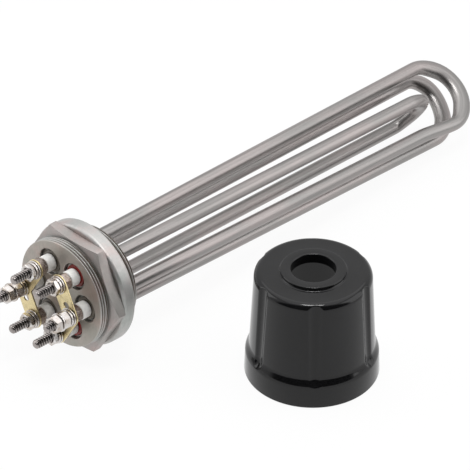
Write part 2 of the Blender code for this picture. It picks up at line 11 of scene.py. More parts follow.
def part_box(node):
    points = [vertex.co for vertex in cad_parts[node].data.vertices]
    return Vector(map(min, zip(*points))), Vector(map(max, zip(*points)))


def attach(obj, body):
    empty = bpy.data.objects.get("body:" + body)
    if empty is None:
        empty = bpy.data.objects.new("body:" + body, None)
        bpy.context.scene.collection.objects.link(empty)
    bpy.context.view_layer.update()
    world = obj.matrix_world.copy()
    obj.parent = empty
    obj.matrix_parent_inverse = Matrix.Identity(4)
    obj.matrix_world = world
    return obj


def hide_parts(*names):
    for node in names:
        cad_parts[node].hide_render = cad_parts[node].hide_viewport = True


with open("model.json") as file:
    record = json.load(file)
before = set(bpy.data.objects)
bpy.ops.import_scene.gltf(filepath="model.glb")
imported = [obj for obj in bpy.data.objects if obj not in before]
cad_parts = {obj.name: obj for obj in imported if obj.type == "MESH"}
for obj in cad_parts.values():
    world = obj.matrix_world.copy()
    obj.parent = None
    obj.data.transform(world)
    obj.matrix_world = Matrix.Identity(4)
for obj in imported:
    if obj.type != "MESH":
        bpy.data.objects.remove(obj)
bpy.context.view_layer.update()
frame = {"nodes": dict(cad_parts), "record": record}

bl_info = {
    "name": "Screw Plug Immersion Heater",
    "version": (1, 0, 0),
    "blender": (4, 5, 0),
    "location": "View3D > Sidebar > Heater",
    "description": "Makes the heater's plug, tubes, terminals and cap over its packed parts, and a studio",
    "category": "Object",
}

mm = 0.001
whole_turn = 2 * math.pi
leg_count = 6
leg_turn = whole_turn / leg_count
hexagon_sides = 6
weld_distance = 0.002 * mm
sharp_angle = math.radians(34)
gauge_radius = 35 * mm
supply_terminals = (1, 4)
# The seals of these terminals show their red; the others get a dark copy of the silicone, painted shade in
# their dishes.
unshaded_seals = (3, 5)
terminals = range(1, leg_count + 1)
white = (1, 1, 1, 1)
# Columns of the plug's surface: over a sixth of its outside, and down each side of that sixth's face.
arc_columns, side_columns = 48, 20
# Where most values of a noise pattern lie, without and with its rarer ones.
usual, broad = (0.3, 0.7), (0.25, 0.75)
mounts = {mount["name"]: mount for mount in frame["record"]["mounts"]}


def length(label, note, millimetres):
    """A size in millimetres, kept in metres."""
    return bpy.props.FloatProperty(name=label, description=note, default=millimetres * mm, min=0,
                                   unit="LENGTH", precision=5)


def lean(label, note, degrees):
    """An angle in degrees, kept in radians."""
    return bpy.props.FloatProperty(name=label, description=note, default=math.radians(degrees),
                                   unit="ROTATION")


def colour(label, note, red_green_blue):
    """A surface colour."""
    return bpy.props.FloatVectorProperty(name=label, description=note, default=red_green_blue, size=3,
                                         min=0, max=1, subtype="COLOR")


def share(label, note, value):
    """A number from 0 to 1."""
    return bpy.props.FloatProperty(name=label, description=note, default=value, min=0, max=1,
                                   subtype="FACTOR")


class PlugSizes(bpy.types.PropertyGroup):
    """Sizes of the plug, along its axis from the tank end to the terminals."""
    spigot_radius: length("Spigot radius", "Crest radius of the pipe thread", 32.86)
    spigot_length: length("Spigot length", "From the sealing face to the tank end", 9)
    spigot_pitch: length("Pipe thread pitch", "From one crest to the next", 2.309)
    spigot_depth: length("Pipe thread depth", "From crest to root", 1.3)
    relief_radius: length("Relief radius", "Groove between the pipe thread and the flange", 31.26)
    flange_radius: length("Flange radius", "Outer radius of the round flange", 39.8)
    flange_thickness: length("Flange thickness", "From the sealing face to the hexagon", 9.4)
    flange_edge: length("Flange edge", "Rounding of the flange's two edges", 2.2)
    flats: length("Across flats", "Width of the hexagon", 72)
    hexagon_height: length("Hexagon height", "Along the axis", 7.6)
    hexagon_chamfer: lean("Hexagon chamfer", "Slope of the turned-off corners", 20)
    boss_radius: length("Boss radius", "Crest radius of the cap's thread", 34.6)
    boss_height: length("Boss height", "From the hexagon to the end face", 6.8)
    boss_pitch: length("Cap thread pitch", "From one crest to the next", 1.9)
    boss_depth: length("Cap thread depth", "From crest to root", 0.95)
    dish_radius: length("Dish radius", "Recess round each tube's end", 8.6)
    dish_depth: length("Dish depth", "From the end face to the recess's floor", 3.2)
    leg_circle: length("Leg circle radius", "Where the tubes' ends lie round the axis", 20.7)


class TubeSizes(bpy.types.PropertyGroup):
    """Sizes of the three U-shaped sheath tubes."""
    radius: length("Tube radius", "Outer radius of the sheath", 4.25)
    wall: length("Wall", "Thickness of the sheath", 0.8)
    stand: length("Stand", "How far a sheath's end stands out of its dish floor", 1.9)
    straight_x: length("Straight length", "From the sealing face to where the legs start to splay", 24)
    front_bend_x: length("Front loop", "From the sealing face to the front loop's bend", 293.7)
    rear_bend_x: length("Rear loop", "From the sealing face to the rear loop's bend", 290.4)
    inner_bend_x: length("Inner loop", "From the sealing face to the inner loop's bend", 273.8)
    splay: length("Splay", "How far the outer loops open out by their bends", 2.9)
    pinch: length("Pinch", "How far the inner loop closes in by its bend", 4.2)
    spread: length("Bend spread", "How much wider a pressed bend is on each side", 1.4)
    press: length("Bend press", "How much thinner a pressed bend is on each side", 0.2)
    press_angle: lean("Press angle", "How far into the bend the pressing is complete", 45)
    corner_out: length("Front corner", "How far the front loop's first leg bulges at its bend", 2.4)
    corner_on: length("Rear corner", "How much further on the rear loop's first leg ends", 8.8)
    corner_back: length("Inner corner", "How much sooner the inner loop's first leg ends", 4.5)
    corner_sweep: lean("Corner sweep", "How far round a bend its uneven first corner is felt", 120)
    corner_reach: length("Corner reach", "How far back along its leg", 30)


class TerminalSizes(bpy.types.PropertyGroup):
    """Sizes of one terminal's stack, from the tube's end outwards."""
    gap: length("Gap", "Clearance between pieces that touch", 0.3)
    bead_radius: length("Bead radius", "Outer radius of the ceramic bead", 5.3)
    bead_length: length("Bead length", "Along the stud", 6.6)
    seal_radius: length("Seal radius", "Outer radius of the silicone seal", 7.2)
    stud_radius: length("Stud radius", "Crest radius of the stud's thread", 3)
    stud_pitch: length("Stud thread pitch", "From one crest to the next", 1.8)
    stud_depth: length("Stud thread depth", "From crest to root", 0.7)
    tip_length: length("Tip length", "Tapered end of the stud", 2.4)
    tip_radius: length("Tip radius", "Where the stud's rounded end meets its flat tip", 0.9)
    pin_radius: length("Pin radius", "Cold pin inside the sheath", 1.56)
    pin_end_x: length("Pin end", "From the sealing face to the cold pin's inner end", 21)
    nut_flats: length("Nut width", "Across the flats of the nuts", 10)
    nut_height: length("Nut height", "Lower nuts and the nuts of the supply terminals", 5)
    thin_nut_height: length("Thin nut height", "Top nuts of the other terminals", 3.2)
    nut_chamfer: lean("Nut chamfer", "Slope of the nuts' turned-off corners", 30)
    nut_turn: lean("Nut turn", "How much each terminal's nuts are turned against the one before", 17)
    plate_thickness: length("Plate thickness", "Of the two link plates", 1)
    plate_width: length("Plate width", "Of the two link plates", 12.6)
    spare_hole: length("Spare hole radius", "Hole between two studs of a link plate", 2.3)
    spare_distance: length("Spare hole place", "From the plate's middle stud", 7)
    washer_radius: length("Washer radius", "Flat washers", 6)
    washer_thickness: length("Washer thickness", "Flat washers", 1)
    spring_radius: length("Spring washer radius", "Split washers", 5.5)
    spring_thickness: length("Spring washer thickness", "Split washers", 1.5)
    spring_slot: length("Slot", "Width of the split", 0.8)
    spring_slant: lean("Slot slant", "Slope of the split", 35)
    past_top_nut: length("Past top nut", "Stud beyond the thin top nuts", 12.1)
    past_supply_nut: length("Past supply nut", "Stud beyond the outermost nuts", 5.4)


class CapSizes(bpy.types.PropertyGroup):
    """Sizes of the moulded cap, which stands on its mouth."""
    height: length("Height", "From the mouth to the flat top", 72)
    mouth_radius: length("Mouth radius", "Outer radius at the foot", 40.8)
    skirt_height: length("Skirt height", "Plain band at the foot", 13.5)
    skirt_taper: length("Skirt taper", "How much the skirt narrows", 0.5)
    shoulder_height: length("Shoulder height", "Soft step over the skirt", 7.5)
    shoulder_step: length("Shoulder step", "How far the body stands back from the skirt", 2.4)
    top_radius: length("Top radius", "Outer radius under the rounded edge", 35.6)
    edge: length("Edge radius", "Rounding between side and top", 4.5)
    wall: length("Wall", "Thickness of the shell", 4)
    mouth_inner_radius: length("Mouth inner radius", "Bore that takes the plug's boss", 34.9)
    mouth_depth: length("Mouth depth", "Height of that bore", 11)
    cable_hole: length("Cable hole radius", "Hole in the top", 13.5)
    ring_radius: length("Ring radius", "Raised ring round the cable hole", 20)
    ring_height: length("Ring height", "Of that ring over the flat top", 2.2)
    flute_radius: length("Flute radius", "Radius of each flute's section", 7)
    flute_depth: length("Flute depth", "At its middle", 1.3)
    flute_lean: length("Flute lean", "How much deeper the flutes cut at the top than at the shoulder", 0.8)
    flute_turn: lean("Flute turn", "Angle of the first flute", 47)
    flutes: bpy.props.IntProperty(name="Flutes", description="How many", default=6, min=1)
    lip: length("Lip", "Rounding of the ring, the cable hole and the foot", 0.8)
    thread_pitch: length("Mouth thread pitch", "From one crest to the next", 1.25)
    thread_depth: length("Mouth thread depth", "From crest to root", 0.5)


class FinishColours(bpy.types.PropertyGroup):
    """Colours and roughness of the finishes."""
    tube_steel: colour("Tube steel", "Satin stainless tubes", (0.335, 0.315, 0.307))
    tube_cool: colour("Cool tube steel", "Greenish patches of the tubes", (0.312, 0.302, 0.294))
    tube_warm: colour("Warm tube steel", "Pinkish patches of the tubes", (0.365, 0.332, 0.324))
    tube_rough: share("Tube roughness", "Of the satin tubes", 0.36)
    plug_steel: colour("Plug steel", "Turned stainless plug", (0.50, 0.492, 0.48))
    plug_cool: colour("Cool plug steel", "Greenish patches of the plug", (0.455, 0.468, 0.45))
    plug_warm: colour("Warm plug steel", "Pinkish patches of the plug", (0.54, 0.485, 0.468))
    plug_hexagon: colour("Hexagon tint", "Over the plug's steel, on its hexagon", (0.84, 0.79, 0.78))
    plug_face: colour("Face tint", "Over the plug's steel, on its terminal face", (0.90, 0.84, 0.79))
    # Painted shade: darkens the plug's steel deep in its threads and dishes.
    groove_shade: colour("Groove shade", "Over the plug's steel, deep in its threads", (0.27, 0.215, 0.17))
    plug_rough: share("Plug roughness", "Of the turned plug", 0.50)
    plated: colour("Plated steel", "Nuts and washers", (0.72, 0.70, 0.69))
    plated_tint: colour("Plating tint", "Bronze tint in the plating", (0.50, 0.43, 0.37))
    # Lower nuts: a darker, browner copy of the plated steel, painted shade under the link plates.
    lower_nut_shaded: colour("Heated steel", "Lower nuts", (0.50, 0.43, 0.39))
    lower_nut_shade_tint: colour("Shade tint", "Brown tint of the lower nuts", (0.27, 0.205, 0.17))
    stud: colour("Stud steel", "Threaded studs", (0.42, 0.385, 0.37))
    brass: colour("Brass", "Link plates", (0.78, 0.66, 0.38))
    ceramic: colour("Ceramic", "White beads", (0.92, 0.91, 0.88))
    silicone: colour("Silicone", "Red seals", (0.26, 0.022, 0.018))
    # Painted shade: a dark grey-green copy of the silicone for seals deep in their dishes.
    shaded_seal: colour("Shaded silicone", "Seals painted dark as shade in their dishes", (0.16, 0.14, 0.115))
    magnesia: colour("Magnesia", "Cores inside the tubes", (0.80, 0.79, 0.76))
    winding: colour("Winding", "Coils inside the cores", (0.45, 0.42, 0.38))
    phenolic: colour("Phenolic", "Moulded black cap", (0.0055, 0.0055, 0.006))
    phenolic_rough: share("Phenolic roughness", "Of the cap", 0.085)


def record_axis():
    """The heater's origin and axes in the packed part; its sealing face is known at the gauge radius."""
    face, flat = mounts["sealing_face"], mounts["wrench_flat"]
    along, up = np.array(face["axis"]), np.array(flat["axis"])
    axes = np.stack([along, np.cross(up, along), up], axis=1)
    return np.array(face["pos_m"]) - up * gauge_radius, axes


def cap_centre():
    """The middle of the cap's foot on the floor."""
    low, high = (np.array(corner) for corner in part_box("terminal_cap"))
    return np.array([(low[0] + high[0]) / 2, (low[1] + high[1]) / 2, low[2]])


heater_origin, heater_axes = record_axis()


def on_heater(points):
    """Points in the heater's own frame, moved to where the heater lies."""
    return heater_origin + points @ heater_axes.T


def around(axial, radius, angle):
    """A surface of revolution: (axial, radius cos angle, radius sin angle)."""
    axial, radius, angle = np.broadcast_arrays(axial, radius, angle)
    return np.stack([axial, radius * np.cos(angle), radius * np.sin(angle)], axis=-1)


def circle_point(radius, angle):
    """Points of a circle: radius (cos angle, sin angle)."""
    return radius * np.stack([np.cos(angle), np.sin(angle)], axis=-1)


def full_turn(columns, start=0.0):
    """Angles evenly round a circle, without the last one."""
    return start + np.arange(columns) * whole_turn / columns


def over_angle(rows, angle):
    """The axial places and the radii of (axial, radius) rows, each spread over the angle."""
    return [np.stack([np.broadcast_to(row[part], angle.shape) for row in rows]) for part in (0, 1)]


def smooth_step(low, high, value):
    """0 below low, 1 above high, and 3t^2 - 2t^3 between them."""
    t = np.clip((value - low) / (high - low), 0, 1)
    return t * t * (3 - 2 * t)


def rounded(corners, radii, steps, closed=False):
    """A profile whose corners are arcs that touch both sides at radius / tan(half the corner's angle)."""
    corners = np.asarray(corners, float)
    out = []
    last = len(corners) - 1
    for index, corner in enumerate(corners):
        radius = radii[index] if hasattr(radii, "__len__") else radii
        if radius == 0 or (not closed and index in (0, last)):
            out.append(corner[None])
            continue
        before = corners[index - 1] - corner
        after = corners[(index + 1) % len(corners)] - corner
        before, after = before / np.linalg.norm(before), after / np.linalg.norm(after)
        half = math.acos(np.clip(before @ after, -1, 1)) / 2
        middle = (before + after) / np.linalg.norm(before + after)
        centre = corner + middle * radius / math.sin(half)
        first = corner + before * radius / math.tan(half) - centre
        second = corner + after * radius / math.tan(half) - centre
        start = math.atan2(first[1], first[0])
        sweep = math.remainder(math.atan2(second[1], second[0]) - start, whole_turn)
        angle = start + sweep * np.linspace(0, 1, steps + 1)
        out.append(centre + circle_point(radius, angle))
    return np.concatenate(out)


def grid_faces(rows, columns, first, rows_closed, columns_closed):
    """Corner numbers of a grid's quadrilaterals: (r, c), (r, c+1), (r+1, c+1), (r+1, c)."""
    row = np.arange(rows if rows_closed else rows - 1)[:, None]
    column = np.arange(columns if columns_closed else columns - 1)[None, :]
    next_row, next_column = (row + 1) % rows, (column + 1) % columns
    corners = [row * columns + column, row * columns + next_column,
               next_row * columns + next_column, next_row * columns + column]
    return first + np.stack(np.broadcast_arrays(*corners), axis=-1).reshape(-1, 4)


def weld(mesh):
    """Join points that meet, turn the faces outwards and mark the sharp edges."""
    shape = bmesh.new()
    shape.from_mesh(mesh)
    bmesh.ops.remove_doubles(shape, verts=shape.verts, dist=weld_distance)
    bmesh.ops.recalc_face_normals(shape, faces=shape.faces)
    shape.to_mesh(mesh)
    shape.free()
    mesh.shade_smooth()
    mesh.set_sharp_from_angle(angle=sharp_angle)


def make_piece(name, patches, finish, nodes, marks=None):
    """One object from patches of points (grid, rows closed, columns closed), welded where they meet.

    marks gives a name and, for each patch, a value at each point, for the finish to read: its depth in
    a groove, or where the point would lie if the piece were unbent.
    """
    points, faces, first = [], [], 0
    for grid, rows_closed, columns_closed in patches:
        rows, columns = grid.shape[:2]
        points.append(grid.reshape(-1, 3))
        faces.append(grid_faces(rows, columns, first, rows_closed, columns_closed))
        first += rows * columns
    points, faces = np.concatenate(points), np.concatenate(faces)
    mesh = bpy.data.meshes.new(name)
    mesh.vertices.add(len(points))
    mesh.vertices.foreach_set("co", points.ravel())
    mesh.loops.add(faces.size)
    mesh.loops.foreach_set("vertex_index", faces.ravel())
    mesh.polygons.add(len(faces))
    mesh.polygons.foreach_set("loop_start", np.arange(0, faces.size, 4))
    mesh.update(calc_edges=True)
    if marks:
        label, grids = marks
        values = np.concatenate([grid.reshape(-1, *grid.shape[2:]) for grid in grids])
        kind, field = ("FLOAT_VECTOR", "vector") if values.ndim == 2 else ("FLOAT", "value")
        mesh.attributes.new(label, kind, "POINT").data.foreach_set(field, values.ravel())
    weld(mesh)
    hand_over(name, mesh, finish, nodes)


def make_terminal_piece(name, index, patch, finish, node, closed=True, marks=None):
    """One object from a patch made round the heater's axis and moved to a terminal."""
    make_piece(f"{name}_{index}", [(at_terminal(patch, index), closed, True)], finish, [f"{node}_{index}"],
               marks)


def hand_over(name, mesh, finish, nodes):
    """Show a mesh in place of the packed nodes that it stands for."""
    mesh.materials.append(finish)
    piece = bpy.data.objects.new(name, mesh)
    bpy.context.scene.collection.objects.link(piece)
    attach(piece, "root")
    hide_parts(*nodes)


def thread_radius(axial, angle, pitch, crest, depth, low, high):
    """A single-start thread: crest less depth times a flat-topped zigzag of axial / pitch - angle / turn."""
    flat = 0.14
    phase = np.mod(axial / pitch - angle / whole_turn, 1.0)
    height = np.clip((1 - np.abs(2 * phase - 1) - flat) / (1 - 2 * flat), 0, 1)
    fade = smooth_step(low, low + pitch, axial) * (1 - smooth_step(high - pitch, high, axial))
    return crest - depth * (1 - height) * fade


def hexagon_radius(angle, corner_angle, flat_radius, softness):
    """Distance to a hexagon's edge: flat radius over the power mean of the six cosines, softened corners."""
    side_turn = whole_turn / hexagon_sides
    sides = corner_angle + side_turn / 2 + np.arange(hexagon_sides) * side_turn
    reach = np.clip(np.cos(np.asarray(angle)[..., None] - sides), 0, None)
    return flat_radius / np.sum(reach ** softness, axis=-1) ** (1 / softness)


def at_terminal(grid, index):
    """A grid made round the heater's axis, moved to terminal 1 to 6, which are counted from +Y towards +Z."""
    place = circle_point(bpy.context.scene.heater_plug.leg_circle, (index - 1) * leg_turn)
    return on_heater(grid + np.array([0, *place]))


def all_places():
    """The stack's places along the axis, each at its inner end; outwards is towards -X."""
    scene = bpy.context.scene
    plug, tubes, terminal = scene.heater_plug, scene.heater_tubes, scene.heater_terminal
    face = -(plug.flange_thickness + plug.hexagon_height + plug.boss_height)
    floor = face + plug.dish_depth
    places = {"face": face, "dish_floor": floor, "seal": floor - terminal.gap,
              "sheath_end": floor - tubes.stand}
    stack = [("bead", terminal.bead_length), ("lower_nut", terminal.nut_height),
             ("plate", terminal.plate_thickness), ("flat_washer", terminal.washer_thickness),
             ("spring_washer", terminal.spring_thickness), ("top_nut", terminal.nut_height),
             ("supply_washer", terminal.washer_thickness), ("supply_nut", terminal.nut_height)]
    x = places["sheath_end"]
    for name, height in stack:
        places[name] = x - terminal.gap
        x = places[name] - height
    places["supply_tip"] = x - terminal.past_supply_nut
    places["tip"] = places["top_nut"] - terminal.thin_nut_height - terminal.past_top_nut
    return places


def node_tree(name, base, metallic, roughness):
    """A material with its Principled shader set, and its node tree."""
    finish = bpy.data.materials.new(name)
    finish.use_nodes = True
    tree = finish.node_tree
    shader = tree.nodes["Principled BSDF"]
    shader.inputs["Base Color"].default_value = (*base, 1)
    shader.inputs["Metallic"].default_value = metallic
    shader.inputs["Roughness"].default_value = roughness
    return finish, tree, shader


def add_node(tree, kind, settings=None, **inputs):
    """A node with its settings and input values; an input that is a socket gets linked."""
    node = tree.nodes.new(kind)
    for name, value in (settings or {}).items():
        setattr(node, name, value)
    for name, value in inputs.items():
        socket = node.inputs[int(name[1:])] if name[1:].isdigit() else node.inputs[name.replace("_", " ")]
        if isinstance(value, bpy.types.NodeSocket):
            tree.links.new(value, socket)
        else:
            socket.default_value = value
    return node


def object_coordinates(tree):
    """Where a point lies in its piece."""
    return add_node(tree, "ShaderNodeTexCoord").outputs["Object"]


def heater_coordinates(tree):
    """Object coordinates turned so that x runs along the heater's axis, with the sealing face at 0."""
    turn = Matrix([list(row) for row in heater_axes]).to_euler()
    mapping = add_node(tree, "ShaderNodeMapping", {"vector_type": "TEXTURE"},
                       Vector=object_coordinates(tree), Location=heater_origin, Rotation=turn)
    return mapping.outputs["Vector"]


def scaled(tree, vector, scale):
    """Coordinates stretched by a factor along each axis."""
    return add_node(tree, "ShaderNodeMapping", Vector=vector, Scale=scale).outputs["Vector"]


def noise(tree, vector, scale, detail=3.0, rough=0.55):
    """A noise pattern's value."""
    node = add_node(tree, "ShaderNodeTexNoise", Vector=vector, Scale=scale, Detail=detail, Roughness=rough)
    return node.outputs["Fac"]


def ramp(tree, value, stops):
    """A colour ramp over (place, colour) stops."""
    node = add_node(tree, "ShaderNodeValToRGB", Fac=value)
    band = node.color_ramp
    while len(band.elements) < len(stops):
        band.elements.new(0.5)
    for element, (place, shade) in zip(band.elements, stops):
        element.position = place
        element.color = (*shade, 1)
    return node.outputs["Color"]


def spread(tree, value, low, high, new_low, new_high):
    """A value remapped from one range to another."""
    node = add_node(tree, "ShaderNodeMapRange", Value=value, From_Min=low, From_Max=high, To_Min=new_low,
                    To_Max=new_high)
    return node.outputs["Result"]


def mixed(tree, factor, first, second):
    """Two colours mixed by a factor."""
    node = add_node(tree, "ShaderNodeMix", {"data_type": "RGBA"}, _0=factor, _6=first, _7=second)
    return node.outputs[2]


def product(tree, first, second):
    """Two colours multiplied."""
    settings = {"data_type": "RGBA", "blend_type": "MULTIPLY"}
    return add_node(tree, "ShaderNodeMix", settings, _0=1.0, _6=first, _7=second).outputs[2]


def maths(tree, operation, *values, **settings):
    """A sum, product, power or root of one or two values."""
    inputs = {f"_{index}": value for index, value in enumerate(values)}
    return add_node(tree, "ShaderNodeMath", {"operation": operation, **settings}, **inputs).outputs[0]


def finished(tree, shader, shade, rough, relief, strength, depth):
    """Link a surface's colour and roughness, and relief from a height pattern on its normal."""
    tree.links.new(shade, shader.inputs["Base Color"])
    tree.links.new(rough, shader.inputs["Roughness"])
    bump = add_node(tree, "ShaderNodeBump", Strength=strength, Distance=depth, Height=relief)
    tree.links.new(bump.outputs["Normal"], shader.inputs["Normal"])


def tone(red_green_blue, factor):
    """A colour, brighter or darker."""
    return tuple(min(1.0, part * factor) for part in red_green_blue)


def attribute(tree, name, output):
    """A piece's own values at its points."""
    return add_node(tree, "ShaderNodeAttribute", {"attribute_name": name}).outputs[output]


def painted_groove_shade(tree, tint, root):
    """A colour darkened towards the bottom of a groove or dish: painted shade."""
    shallow, deep = 0.15, 0.9
    in_shade = spread(tree, attribute(tree, "groove", "Fac"), shallow, deep, 0, 1)
    return product(tree, tint, mixed(tree, in_shade, white, (*root, 1)))


def tube_finish(colours):
    """Satin drawn tube: fine streaks along its length, faint heat tints and rubbed patches."""
    finish, tree, shader = node_tree("satin_tube_steel", colours.tube_steel, 1, colours.tube_rough)
    along = attribute(tree, "straight", "Vector")
    streaks = noise(tree, scaled(tree, along, (7, 640, 640)), 1, 1.5, 0.5)
    cloud = noise(tree, scaled(tree, along, (22, 130, 130)), 1)
    tint = ramp(tree, cloud, [(0.38, colours.tube_cool), (0.50, colours.tube_steel),
                              (0.62, colours.tube_warm)])
    light = spread(tree, streaks, *usual, 0.80, 1.10)
    rough = spread(tree, streaks, *broad, colours.tube_rough - 0.05, colours.tube_rough + 0.09)
    finished(tree, shader, product(tree, tint, light), rough, streaks, 0.05, 0.05 * mm)
    return finish


def plug_finish(colours, plug):
    """Turned steel: rings that follow the distance from the axis, with smudges, and painted shade deep in its
    threads and dishes.
    """
    flange_x, boss, face_x = -plug.flange_thickness, plug.boss_radius, all_places()["face"]
    finish, tree, shader = node_tree("turned_plug_steel", colours.plug_steel, 1, colours.plug_rough)
    place = heater_coordinates(tree)
    along, *sideways = add_node(tree, "ShaderNodeSeparateXYZ", Vector=place).outputs
    radius = maths(tree, "SQRT", maths(tree, "ADD", *(maths(tree, "POWER", part, 2.0) for part in sideways)))
    lathe = add_node(tree, "ShaderNodeCombineXYZ", X=along, Y=radius).outputs[0]
    rings = noise(tree, scaled(tree, lathe, (2600, 2600, 1)), 1, 2, 0.6)
    patches = noise(tree, place, 58, 5, 0.65)
    marks = noise(tree, scaled(tree, place, (300, 700, 260)), 1, 3, 0.7)
    tint = ramp(tree, patches, [(0.38, colours.plug_cool), (0.52, colours.plug_steel),
                                (0.66, colours.plug_warm)])
    beyond_flange = spread(tree, along, flange_x - 0.1 * mm, flange_x + 0.3 * mm, 1, 0)
    outside_boss = spread(tree, radius, boss + 0.3 * mm, boss + 0.7 * mm, 0, 1)
    on_face = spread(tree, along, face_x + 0.2 * mm, face_x + 0.6 * mm, 1, 0)
    on_hexagon = maths(tree, "MULTIPLY", beyond_flange, outside_boss)
    zone = mixed(tree, on_hexagon, white, (*colours.plug_hexagon, 1))
    zone = mixed(tree, on_face, zone, (*colours.plug_face, 1))
    light = spread(tree, rings, *broad, 0.92, 1.04)
    # Painted shade, darkest at the thread roots and the dish floors.
    shade = painted_groove_shade(tree, product(tree, product(tree, tint, zone), light), colours.groove_shade)
    rough = spread(tree, marks, *usual, colours.plug_rough - 0.05, colours.plug_rough + 0.10)
    finished(tree, shader, shade, rough, rings, 0.15, 0.04 * mm)
    return finish


def metal_finish(name, base, tint, roughness, grain, shaded_grooves=False):
    """Small metal parts: a base colour that drifts to a tint, scuffed, with a fine grain."""
    finish, tree, shader = node_tree(name, base, 1, roughness)
    place = object_coordinates(tree)
    scuffs = noise(tree, place, grain, 3, 0.65)
    drift = ramp(tree, noise(tree, place, 240), [(0.38, base), (0.66, tint)])
    shade = product(tree, drift, spread(tree, scuffs, *usual, 0.90, 1.04))
    # Painted shade deep in the thread roots.
    if shaded_grooves:
        shade = painted_groove_shade(tree, shade, (0.08, 0.08, 0.08))
    rough = spread(tree, scuffs, *usual, roughness - 0.06, roughness + 0.12)
    finished(tree, shader, shade, rough, scuffs, 0.12, 0.03 * mm)
    return finish


def cloudy_finish(name, base, metallic, rough, cloud, stops, relief, grain=None):
    """A plain surface: a cloud of a scale shades its colour by (place, factor) stops.

    A grain (scale, detail, roughness), or else the cloud, varies its roughness and gives it relief
    (strength, millimetres).
    """
    finish, tree, shader = node_tree(name, base, metallic, sum(rough) / 2)
    place = object_coordinates(tree)
    shades = noise(tree, place, cloud)
    fine = noise(tree, place, *grain) if grain else shades
    shade = ramp(tree, shades, [(at, tone(base, factor)) for at, factor in stops])
    strength, depth = relief
    finished(tree, shader, shade, spread(tree, fine, *usual, *rough), fine, strength, depth * mm)
    return finish


def cap_finish(colours):
    """Moulded phenolic: near-black gloss, with faint flow marks and a fine orange-peel."""
    base, roughness = colours.phenolic, colours.phenolic_rough
    finish, tree, shader = node_tree("moulded_phenolic", base, 0, roughness)
    shader.inputs["Specular IOR Level"].default_value = 0.34
    place = object_coordinates(tree)
    flow = noise(tree, scaled(tree, place, (60, 60, 25)), 1, 4, 0.6)
    peel = noise(tree, place, 900, 2)
    shade = ramp(tree, flow, [(0.35, tone(base, 0.85)), (0.65, tone(base, 1.2))])
    rough = spread(tree, flow, *usual, roughness - 0.03, roughness + 0.05)
    finished(tree, shader, shade, rough, peel, 0.06, 0.05 * mm)
    return finish


def wedge_directions(circle, outer_radius):
    """Directions round one hole that end evenly on the outer circle within a sixth, then down its sides."""
    arc = np.linspace(0, leg_turn / 2, arc_columns // 2 + 1)
    half = np.arctan2(outer_radius * np.sin(arc), outer_radius * np.cos(arc) - circle)
    half = np.concatenate([half, np.linspace(half[-1], math.pi, side_columns + 1)[1:]])
    return np.concatenate([-half[::-1][:-1], half])[1:]


def wedge_reach(direction, circle, outer_radius):
    """From a hole's centre to the nearer of the outer circle and the sides of its sixth of the face."""
    half, nearly_none = leg_turn / 2, 1e-9
    turn = np.abs(direction)
    to_circle = np.sqrt(outer_radius ** 2 - (circle * np.sin(turn)) ** 2) - circle * np.cos(turn)
    opening = np.sin(np.maximum(turn - half, nearly_none))
    to_side = np.where(turn > half, circle * math.sin(half) / opening, np.inf)
    return np.minimum(to_circle, to_side)


def holed_face(circle, outer_radius, hole_profile, face_x):
    """One end face with six holes: each sixth is a fan of rays from its hole's profile to its edges."""
    direction = wedge_directions(circle, outer_radius)
    reach = wedge_reach(direction, circle, outer_radius)
    edge = hole_profile[-1, 1]
    shares = np.array([0.12, 0.4, 0.7, 1.0])[:, None]
    radius = np.concatenate([np.repeat(hole_profile[:, 1:], len(direction), axis=1),
                             edge + (reach - edge) * shares])
    axial = np.concatenate([hole_profile[:, 0], np.full(len(shares), face_x)])[:, None]
    out, across = circle + radius * np.cos(direction), radius * np.sin(direction)
    patches = []
    for angle in np.arange(leg_count) * leg_turn:
        y = out * math.cos(angle) - across * math.sin(angle)
        z = out * math.sin(angle) + across * math.cos(angle)
        patches.append((np.stack([np.broadcast_to(axial, y.shape), y, z], axis=-1), False, True))
    return patches


